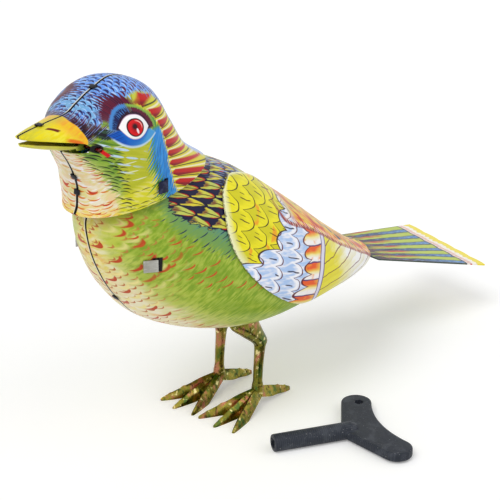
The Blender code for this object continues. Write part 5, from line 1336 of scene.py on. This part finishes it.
def tail_print():
    """Lengthwise stripes in blue, navy, lime and red, then a white band with a yellow edge."""
    paper = Print("tail_print", LIME, coat=PRINT_COAT)
    paper.bird_place()
    along, across, gap = paper.attribute("fan")
    share, _, _ = paper.attribute("fan_share")
    wobble = paper.noise(along / 8, across / 8) - 0.5
    lane = share * 3.0 + wobble * 0.25 + 0.5
    part = lane.part() - 0.5
    grain = paper.noise(along / 7, across / 0.45, detail=3)
    fine = paper.noise(along / 2.5, across / 0.25, detail=2)
    paper.lay(grain.above(0.5, 0.1) * 0.7, (196, 206, 72))
    blue = part.below(-0.05, 0.06)
    paper.lay(blue, (112, 166, 214))
    paper.lay(blue * fine.above(0.5, 0.06), (50, 104, 172))
    dark = (abs(part + 0.28) + along * 0.004 + wobble * 0.1).below(0.38, 0.05) * grain.above(0.42, 0.05)
    paper.lay(dark * along.below(52, 12), (36, 34, 66))
    paper.lay(part.near(-0.05, 0.05, 0.02), (40, 44, 60))
    paper.lay(part.near(-0.48, 0.05, 0.02), (56, 70, 60))
    reds = part.near(0.12, 0.14, 0.06) * along.near(38, 7, 3) * paper.random(lane.floor()).above(0.2, 0.01)
    paper.lay(reds * grain.above(0.4, 0.08), (196, 44, 44))
    paper.lay(along.below(29, 4) * grain.below(0.56, 0.05), (34, 28, 48))
    paper.lay(along.near(27, 4, 2) * fine.above(0.6, 0.04), (206, 90, 60))
    paper.lay(gap.below(11.0, 0.12), (36, 34, 56))
    paper.lay(gap.below(10.1, 0.12), (252, 246, 236))
    dashes = ((across + gap * 0.9) / 1.9).part().near(0.5, 0.2, 0.08)
    paper.lay(dashes * gap.near(8.4, 1.3, 0.3), (206, 60, 40))
    frill = paper.hair(across, 2.2)
    paper.lay((gap - frill * 2.0).below(3.8, 0.15), (246, 228, 60))
    paper.lay((gap - frill * 2.0).near(3.8, 0.1, 0.08) * 0.5, (214, 176, 40))
    paper.lay(abs(share).above(0.985, 0.006) * gap.above(13, 0.3), (60, 74, 66))
    lacquer(paper)
    return paper.done()


def build_lower_beak(materials):
    """Trough of the lower beak with ears on its hinge and a lever behind the chin."""
    rows, columns = LOWER_BEAK_GRID
    row = row_at(LOWER_BEAK, np.linspace(0, len(LOWER_BEAK) - 1, rows))
    x, rim, depth, half = [row[:, k:k + 1] for k in range(4)]
    angle = np.linspace(-pi / 2, pi / 2, columns)

    def trough(inset, lift):
        return np.stack([x + 0 * angle, (half - inset) * np.sin(angle),
                         rim + lift - (depth - inset) * np.cos(angle)], -1)

    piece = make_piece("lower_beak_tin", *sheet_solid(trough(0, 0), trough(LOWER_BEAK_WALL, LOWER_BEAK_LIP)))
    rear_x, rear_z, rear_depth, rear_half = LOWER_BEAK[-1]
    hinge_x, hinge_z = BEAK_HINGE
    ear = [(rear_x - 1.6, rear_z - 1.1), (rear_x - 1.6, rear_z - 0.2), (hinge_x - 1.2, hinge_z + 1.4),
           (hinge_x + 1.2, hinge_z + 1.4), (hinge_x + 1.6, hinge_z - 0.8), (rear_x, rear_z - 1.5)]
    parts = []
    for side in (-1, 1):
        low, high = sorted((side * (rear_half - 0.8), side * (rear_half - 0.2)))
        parts.append(prism(f"ear_{side}", ear, low, high))
    eye = (hinge_x + BEAK_LEVER[0], hinge_z + BEAK_LEVER[1])
    chin = rear_z - rear_depth
    lever = [(rear_x - 1.6, chin + 0.1), (rear_x - 0.05, chin + 0.5), (eye[0] + 1.3, eye[1] + 0.6),
             (eye[0] + 1.0, eye[1] - 1.1), (eye[0] - 1.0, eye[1] - 1.1), (eye[0] - 1.4, eye[1] + 0.3)]
    parts.append(prism("beak_lever", lever, BEAK_LEVER_Y - LEVER_HALF, BEAK_LEVER_Y + LEVER_HALF))
    combine(piece, "UNION", *parts)
    hinge = bore("hinge_bore", BEAK_HINGE, BEAK_HINGE_RADIUS + RUNNING, -BEAK_CUT, BEAK_CUT)
    rod = bore("rod_bore", eye, ROD_EYE_RADIUS, BEAK_LEVER_Y - CUT_PAST, BEAK_LEVER_Y + CUT_PAST)
    combine(piece, "DIFFERENCE", hinge, rod)
    finish_shading(piece)
    return place(piece, materials, "lower_beak", "beak_tin", "lower_beak")


def lower_beak_print():
    """Olive yellow outside, dark at the rear."""
    paper = Print("lower_beak_print", (206, 200, 90), coat=PRINT_COAT)
    x, _, _ = paper.bird_place()
    grain = paper.cloud((4, 0.9, 0.9), 3)
    paper.lay(grain.above(0.48, 0.1) * 0.7, (226, 218, 60))
    paper.lay(x.above(-72, 4) * grain.above(0.4, 0.15) * 0.8, (166, 176, 62))
    paper.lay(x.above(-67.5, 0.8), (120, 146, 44))
    lacquer(paper)
    return paper.done()


def mouth_red():
    """Dark red inside of the beak."""
    paper = Print("mouth_red", (74, 10, 14), 0.45)
    paper.bird_place()
    paper.lay(paper.cloud(2, 3).above(0.5, 0.1) * 0.7, (30, 6, 10))
    paper.rough(paper.cloud(3) * 0.3 + 0.35)
    return paper.done()


def leg_form(name, side, swell=0.0):
    """Thigh and shank as one form of upright sections, swollen for its hole."""
    rows = row_at(LEG_SECTIONS, np.linspace(0, len(LEG_SECTIONS) - 1, LEG_GRID[0]))
    angles = np.linspace(0, 2 * pi, LEG_GRID[1], endpoint=False)
    rings = [[(x + (half_x + swell) * cos(k), side * LEG_Y + (half_y + swell) * sin(k), z) for k in angles]
             for x, z, half_x, half_y in rows]
    return loft(name, rings, kind=INSIDE)


def toe_piece(name, ankle, tip, sections):
    """Roof-shaped toe with knuckles on its ridge."""
    run = np.array([tip[0] - ankle[0], tip[1] - ankle[1]])
    across = np.array([-run[1], run[0]]) / np.hypot(*run)
    rings = []
    for share, ridge, sole, half in row_at(sections, np.linspace(0, len(sections) - 1, TOE_RINGS)):
        sole = max(sole, 0.0)
        shoulder = sole + TOE_SHOULDER_HEIGHT * (ridge - sole)
        narrow = TOE_SHOULDER_HALF * half
        ridge += sum(height * np.exp(-((share - middle) / width) ** 2)
                     for middle, width, height in TOE_KNUCKLES)
        centre = np.array(ankle) + run * share
        section = ((-half, sole), (half, sole), (narrow, shoulder), (0, ridge), (-narrow, shoulder))
        rings.append([(*(centre + across * v), z) for v, z in section])
    return loft(name, rings)


def build_leg(side, word, materials):
    """Pressed leg as one blended form: thigh, shank, three front toes and a back toe."""
    piece = leg_form(f"plated_leg_{word}", side)
    toes = []
    for k, (x, y) in enumerate(TOE_TIPS):
        sections = TOE_SECTIONS if x < 0 else BACK_TOE_SECTIONS
        toes.append(toe_piece(f"toe_{k}", (ANKLE_X, side * LEG_Y), (x, side * (LEG_Y - y)), sections))
    outside = PLATE_INSIDE - SEAT
    low, high = sorted((side * (outside - LEG_LUG_SHEET), side * outside))
    lug = box("leg_lug", (LEG_LUG_X[0], low, LEG_SECTIONS[0][1] - 2), (LEG_LUG_X[1], high, LEG_LUG_TOP))
    combine(piece, "UNION", *toes, lug)
    finish_shading(piece, 28)
    return place(piece, materials, "bird", "leg_plate", f"leg_{word}")


def leg_plating():
    """Yellow chromate plating: olive gold with rose and teal clouds."""
    paper = Print("leg_plating", (104, 100, 34), 0.3, 1.0)
    paper.bird_place()
    cloud = paper.cloud((7, 7, 9), 3)
    film = paper.cloud((3.2, 3.2, 5), 4, rough=0.6)
    paper.lay(cloud.above(0.5, 0.12), (150, 138, 56))
    paper.lay(film.above(0.57, 0.05) * 0.8, (176, 108, 88))
    paper.lay(film.below(0.42, 0.05) * 0.8, (56, 92, 44))
    paper.lay(paper.cloud(2, 3).above(0.64, 0.03) * 0.8, (228, 214, 150))
    paper.lay(paper.cloud((1.4, 1.4, 2.4), 3).below(0.38, 0.04) * 0.8, (44, 34, 16))
    paper.rough(film * 0.25 + 0.1)
    paper.bump(paper.cloud((0.6, 0.6, 1.4), 3) + film * 2, 0.35, 0.12)
    return paper.done()


def build_key(materials):
    """Moulded key: round tube with a square socket and a swept-back finger plate."""
    axis = KEY_TUBE_RADIUS
    placing = Matrix.Translation((*KEY_JUNCTION, axis)) @ Matrix.Rotation(radians(KEY_HEADING), 4, "Z")
    half = [KEY_NECK]
    for angle in np.radians(np.linspace(*KEY_WING_BEARINGS, KEY_WING_POINTS)):
        half.append((-KEY_WING_BACK + KEY_WING_RADIUS * cos(angle),
                     KEY_WING_SPAN + KEY_WING_RADIUS * sin(angle)))
    edge_x, edge_v = half[-1]
    for share in np.linspace(*KEY_SWEEP):
        half.append((-KEY_WAIST + (edge_x + KEY_WAIST) * share ** 2, edge_v * share))
    outline = half + [(-KEY_WAIST, 0.0)] + [(x, -v) for x, v in reversed(half)]
    levels = [KEY_PLATE_Z - axis + s * KEY_PLATE / 2 for s in (-1, 1)]
    piece = loft("moulded_key", [[(x, v, z) for x, v in outline] for z in levels], placing)
    round_edges(piece, KEY_EDGE, 4, 40)
    turned = placing @ Matrix.Rotation(radians(-90), 4, "Z")
    mouth = [(KEY_TUBE_LENGTH - back, KEY_TUBE_RADIUS - inward) for back, inward in KEY_TUBE_MOUTH]
    combine(piece, "UNION", round_pin("key_tube", (0, 0), KEY_TUBE_ROOT + mouth, 48, turned, OUTSIDE))
    side = KEY_SQUARE / 2
    socket = prism("key_socket", rectangle(-side, -side, side, side), KEY_TUBE_LENGTH - KEY_SOCKET_DEPTH,
                   KEY_TUBE_LENGTH + CUT_PAST, turned, OUTSIDE)
    ring = circle(placing @ Vector((*KEY_STRING_HOLE_AT, 0)), KEY_STRING_HOLE, 32)
    hole = loft("string_hole", [[(x, y, z) for x, y in ring] for z in (-CUT_PAST, KEY_PLATE + CUT_PAST)])
    combine(piece, "DIFFERENCE", socket, hole)
    finish_shading(piece, 35)
    store(piece, "key", *moved(placing.inverted(), bird_points(piece)).T)
    return place(piece, materials, "key", "key_plastic", "winding_key")


def key_plastic():
    """Black moulded plastic with fine machining lines and grey scuffs."""
    paper = Print("key_moulding", (44, 48, 56), 0.5)
    along, across, _ = paper.attribute("key")
    paper.bird_place()
    wobble = paper.noise(along / 8, across / 8) * 1.5
    lines = ((across + wobble) * 9.0).sine()
    rings = ((along + wobble) * 9.0).sine()
    on_tube = along.above(2.5, 0.5)
    relief = lines + (rings - lines) * on_tube
    speck = paper.cloud(0.5, 2)
    paper.lay(relief.above(0.5, 0.4) * 0.35, (70, 74, 84))
    paper.lay(paper.cloud(4, 4).above(0.58, 0.08) * 0.4, (84, 88, 96))
    paper.lay(speck.above(0.7, 0.03) * 0.7, (150, 150, 152))
    paper.rough(speck * 0.2 + 0.38)
    paper.bump(relief * 0.4 + speck * 0.8, 0.5, 0.12)
    return paper.done()


def frame_metal(name, colour, dark, roughness, streak):
    """Sheet or turned metal with rolling streaks, stains and fine scratches."""
    paper = Print(name, colour, roughness, 1.0)
    paper.own_place()
    cloud = paper.cloud(6, 4)
    grain = paper.cloud((streak, 1.2, 0.25), 3)
    paper.lay(cloud.above(0.52, 0.12) * 0.6, dark)
    paper.lay(grain.above(0.62, 0.06) * 0.35, (235, 232, 224))
    paper.rough(grain * 0.2 + cloud * 0.2 + roughness - 0.15)
    paper.bump(grain, 0.2, 0.03)
    return paper.done()


def soft_stuff(name, colour, dark, scale, roughness):
    """Card or leather: mottled and fibrous."""
    paper = Print(name, colour, roughness)
    paper.own_place()
    cloud = paper.cloud(4 * scale, 4)
    fibre = paper.cloud(0.5 * scale, 3)
    paper.lay(cloud.above(0.5, 0.15) * 0.7, dark)
    paper.lay(fibre.above(0.62, 0.05) * 0.4, tuple(min(255, c + 40) for c in colour))
    paper.rough(fibre * 0.2 + roughness - 0.1)
    paper.bump(fibre + cloud, 0.5, 0.15)
    return paper.done()


def lug_steel(name, tint):
    """Folded end of a painted lug, worn paler in places."""
    paper = Print(name, tint, 0.4, 0.2)
    paper.bird_place()
    cloud = paper.cloud(1.5, 3)
    paper.lay(cloud.above(0.56, 0.06) * 0.5, tuple(part + 44 for part in tint))
    paper.rough(cloud * 0.3 + 0.2)
    paper.bump(cloud, 0.2, 0.1)
    return paper.done()


def seam_tab(sections, t, end, name, material):
    """Tab on the right half's edge that is bent over the left half's edge."""
    here = row_at(sections, t)
    ahead = row_at(sections, t + 0.05)
    first = 0 if end == "top" else 2
    point = Vector((here[first], 0, here[first + 1]))
    other = Vector((here[2 - first], 0, here[3 - first]))
    along = Vector((ahead[first] - here[first], 0, ahead[first + 1] - here[first + 1])).normalized()
    outward = Vector((-along.z, 0, along.x))
    if outward.dot(point - other) < 0:
        outward.negate()
    placing = Matrix((Vector((0, 1, 0)), along, outward)).transposed().to_4x4()
    placing.translation = point
    top = SEAT + TAB_SHEET
    near, far = TAB_ROOT
    bend = [(far, -TAB_DEPTH), (far, top), (-TAB_REACH, top), (-TAB_REACH, SEAT), (near, SEAT),
            (near, -TAB_DEPTH)]
    return place_lug(prism(name, bend, -TAB_WIDTH / 2, TAB_WIDTH / 2, placing, OUTSIDE), material)


def place_lug(piece, material):
    """Round a tab's or a lug's edges and place it on the bird."""
    round_edges(piece, LUG_EDGE, 2)
    finish_shading(piece)
    return place(piece, [material], "bird", "head_tin")


def neck_lug(side, word, material):
    """Lug of the body that comes through the head's side and is folded forward."""
    x, z = NECK_LUG
    edges = (z - LUG_WIDTH / 2, z + LUG_WIDTH / 2)
    wall = max(wall_at(HEAD_SECTIONS, x, edge) for edge in edges)
    tip_wall = max(wall_at(HEAD_SECTIONS, x - LUG_FOLD, edge) for edge in edges)
    lift = (SEAT + SHEET / 2) * hypot(LUG_FOLD, wall - tip_wall) / LUG_FOLD
    path = [*NECK_LUG_START, (x, wall + lift), (x - LUG_FOLD, tip_wall + lift)]
    rings = []
    for index, (px, py) in enumerate(path):
        before = path[max(index - 1, 0)]
        after = path[min(index + 1, len(path) - 1)]
        length = hypot(after[0] - before[0], after[1] - before[1])
        nx, ny = -(after[1] - before[1]) / length, (after[0] - before[0]) / length
        corners = ((-1, edges[0]), (1, edges[0]), (1, edges[1]), (-1, edges[1]))
        rings.append([(px + sign * SHEET / 2 * nx, side * (py + sign * SHEET / 2 * ny), height)
                      for sign, height in corners])
    return place_lug(loft(f"neck_lug_{word}", rings), material)


def mouth_outline():
    """Side view of what is cut away between the upper beak and the chin."""
    ahead = BEAK_TIP[0] - 4
    x, z = MOUTH_CORNER
    return [(ahead, BEAK_TIP[1] + 0.2), BEAK_TIP, (x, z), (x + 1.0, z - 0.9), (x + 0.9, CHEEK_EDGE[1] + 1.2),
            CHEEK_EDGE, (CHEEK_EDGE[0] - 3, CHEEK_EDGE[1] - 3.5), (ahead, CHEEK_EDGE[1] - 6)]


def build_tin():
    """Body and head shells with their holes, and the tabs and lugs that hold them."""
    tin = bare_tin()
    body = body_print()
    head = head_print()
    dark_lug = lug_steel("neck_lug_steel", (24, 28, 56))
    tab_black = lug_steel("tab_steel", (20, 20, 26))
    for side, word in SIDES:
        shell = build_shell(f"printed_body_{word}", BODY_SECTIONS, side, BODY_GRID)
        cutters = [lug_slot("breast_slot", BODY_SECTIONS, BREAST_LUG, side),
                   leg_form("leg_hole", side, LEG_HOLE_GAP)]
        if side > 0:
            cutters.append(bore("key_hole", SPRING_AXIS, KEY_HOLE_RADIUS, *KEY_HOLE_REACH))
        combine(shell, "DIFFERENCE", *cutters)
        body_fields(shell)
        finish_shading(shell)
        place(shell, [body, tin], "bird", "body_tin", f"body_shell_{word}")

        shell = build_shell(f"printed_head_{word}", HEAD_SECTIONS, side, HEAD_GRID)
        combine(shell, "DIFFERENCE", prism("mouth", mouth_outline(), -HEAD_CUT, HEAD_CUT),
                bore("pin_hole", BEAK_HINGE, BEAK_HINGE_RADIUS + SEAT, -HEAD_CUT, HEAD_CUT),
                lug_slot("neck_slot", HEAD_SECTIONS, NECK_LUG, side))
        head_fields(shell)
        finish_shading(shell)
        place(shell, [head, tin], "bird", "head_tin", f"head_shell_{word}")
        neck_lug(side, word, dark_lug)
    for word, sections, tabs in (("head", HEAD_SECTIONS, HEAD_TABS), ("body", BODY_SECTIONS, BODY_TABS)):
        for number, (t, end) in enumerate(tabs):
            seam_tab(sections, t, end, f"{word}_tab_{number}", tab_black)
    wing = wing_print()
    for side, word in SIDES:
        build_wing(side, word, [wing, tin])
    build_tail([tail_print()], tin)
    build_lower_beak([lower_beak_print(), mouth_red()])


def dress_frame():
    """Better materials on the kept nodes."""
    steel = frame_metal("plate_steel", (178, 178, 172), (128, 124, 112), 0.42, 8)
    brass = frame_metal("gear_brass", (206, 168, 92), (160, 118, 56), 0.38, 3)
    bright = frame_metal("pin_steel", (170, 170, 172), (110, 106, 100), 0.32, 2)
    worn_red = frame_metal("hinge_red", (120, 20, 20), (40, 12, 12), 0.4, 2)
    blued = frame_metal("blued_spring", (82, 92, 118), (50, 48, 56), 0.36, 6)
    card = soft_stuff("board_card", (170, 140, 104), (128, 100, 70), 1.0, 0.85)
    leather = soft_stuff("bellows_leather", (214, 198, 170), (178, 156, 122), 0.8, 0.78)
    finishes = {"frame_steel": steel, "wheel_brass": brass, "arbor_steel": bright, "spring_steel": blued,
                "board_card": card, "bellows_leather": leather, "whistle_brass": brass}
    for name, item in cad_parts.items():
        slot = item.data.materials[0].name.split(".")[0]
        chosen = worn_red if name == "beak_hinge_pin" else finishes.get(slot, steel)
        for index in range(len(item.data.materials)):
            item.data.materials[index] = chosen


def bearing(azimuth, elevation):
    """Direction from the object to a bearing in degrees, with 0 on its left side."""
    a = radians(azimuth)
    e = radians(elevation)
    return Vector((sin(a) * cos(e), -cos(a) * cos(e), sin(e)))


def seen_rays(tree):
    """1 where a camera, glossy or transmission ray looks."""
    path = tree.nodes.new("ShaderNodeLightPath")
    names = ("Is Camera Ray", "Is Glossy Ray", "Is Transmission Ray")
    camera, glossy, through = (Value(tree, path.outputs[name]) for name in names)
    return camera.most(glossy).most(through)


def build_floor():
    """White floor."""
    mesh = bpy.data.meshes.new("floor")
    corners = [(x * FLOOR_HALF, y * FLOOR_HALF, 0) for x, y in ((-1, -1), (1, -1), (1, 1), (-1, 1))]
    mesh.from_pydata(corners, [], [(0, 1, 2, 3)])
    paper = Print("floor_paper", (244, 244, 244), 0.9)
    paper.shader.inputs["Specular IOR Level"].default_value = 0.1
    paper.shader.inputs["Emission Color"].default_value = (1, 1, 1, 1)
    feed(paper.tree, paper.shader.inputs["Emission Strength"], seen_rays(paper.tree) * FLOOR_LIFT)
    mesh.materials.append(paper.done())
    floor = add_object("floor", mesh)


def build_world():
    """White world and soft lamps."""
    scene = bpy.context.scene
    scene.world = bpy.data.worlds.new("studio")
    scene.world.use_nodes = True
    tree = scene.world.node_tree
    background = tree.nodes["Background"]
    background.inputs["Color"].default_value = (1, 1, 1, 1)
    feed(tree, background.inputs["Strength"], seen_rays(tree) * (1 - WORLD_LIGHT) + WORLD_LIGHT)
    for name, strength, angle, azimuth, elevation in LAMPS:
        data = bpy.data.lights.new(name, "SUN")
        data.energy = strength
        data.angle = radians(angle)
        lamp = add_object(name, data)
        lamp.rotation_euler = bearing(azimuth, elevation).to_track_quat("Z", "Y").to_euler()
    scene.view_settings.view_transform = "Standard"


def build_camera():
    """Camera of the photograph."""
    data = bpy.data.cameras.new("photo_camera")
    data.sensor_width = SENSOR
    data.lens = VIEW_LENS
    data.clip_start = 0.01
    data.clip_end = 20
    camera = add_object("photo_camera", data)
    back = bearing(VIEW_AZIMUTH, VIEW_ELEVATION)
    camera.location = (Vector(np.array(VIEW_TARGET) + ORIGIN) + back * VIEW_DISTANCE) * MM
    camera.rotation_euler = back.to_track_quat("Z", "Y").to_euler()
    bpy.context.scene.camera = camera


build_floor()
build_world()
build_camera()
build_tin()
plating = leg_plating()
for side, word in SIDES:
    build_leg(side, word, [plating])
build_key([key_plastic()])
dress_frame()
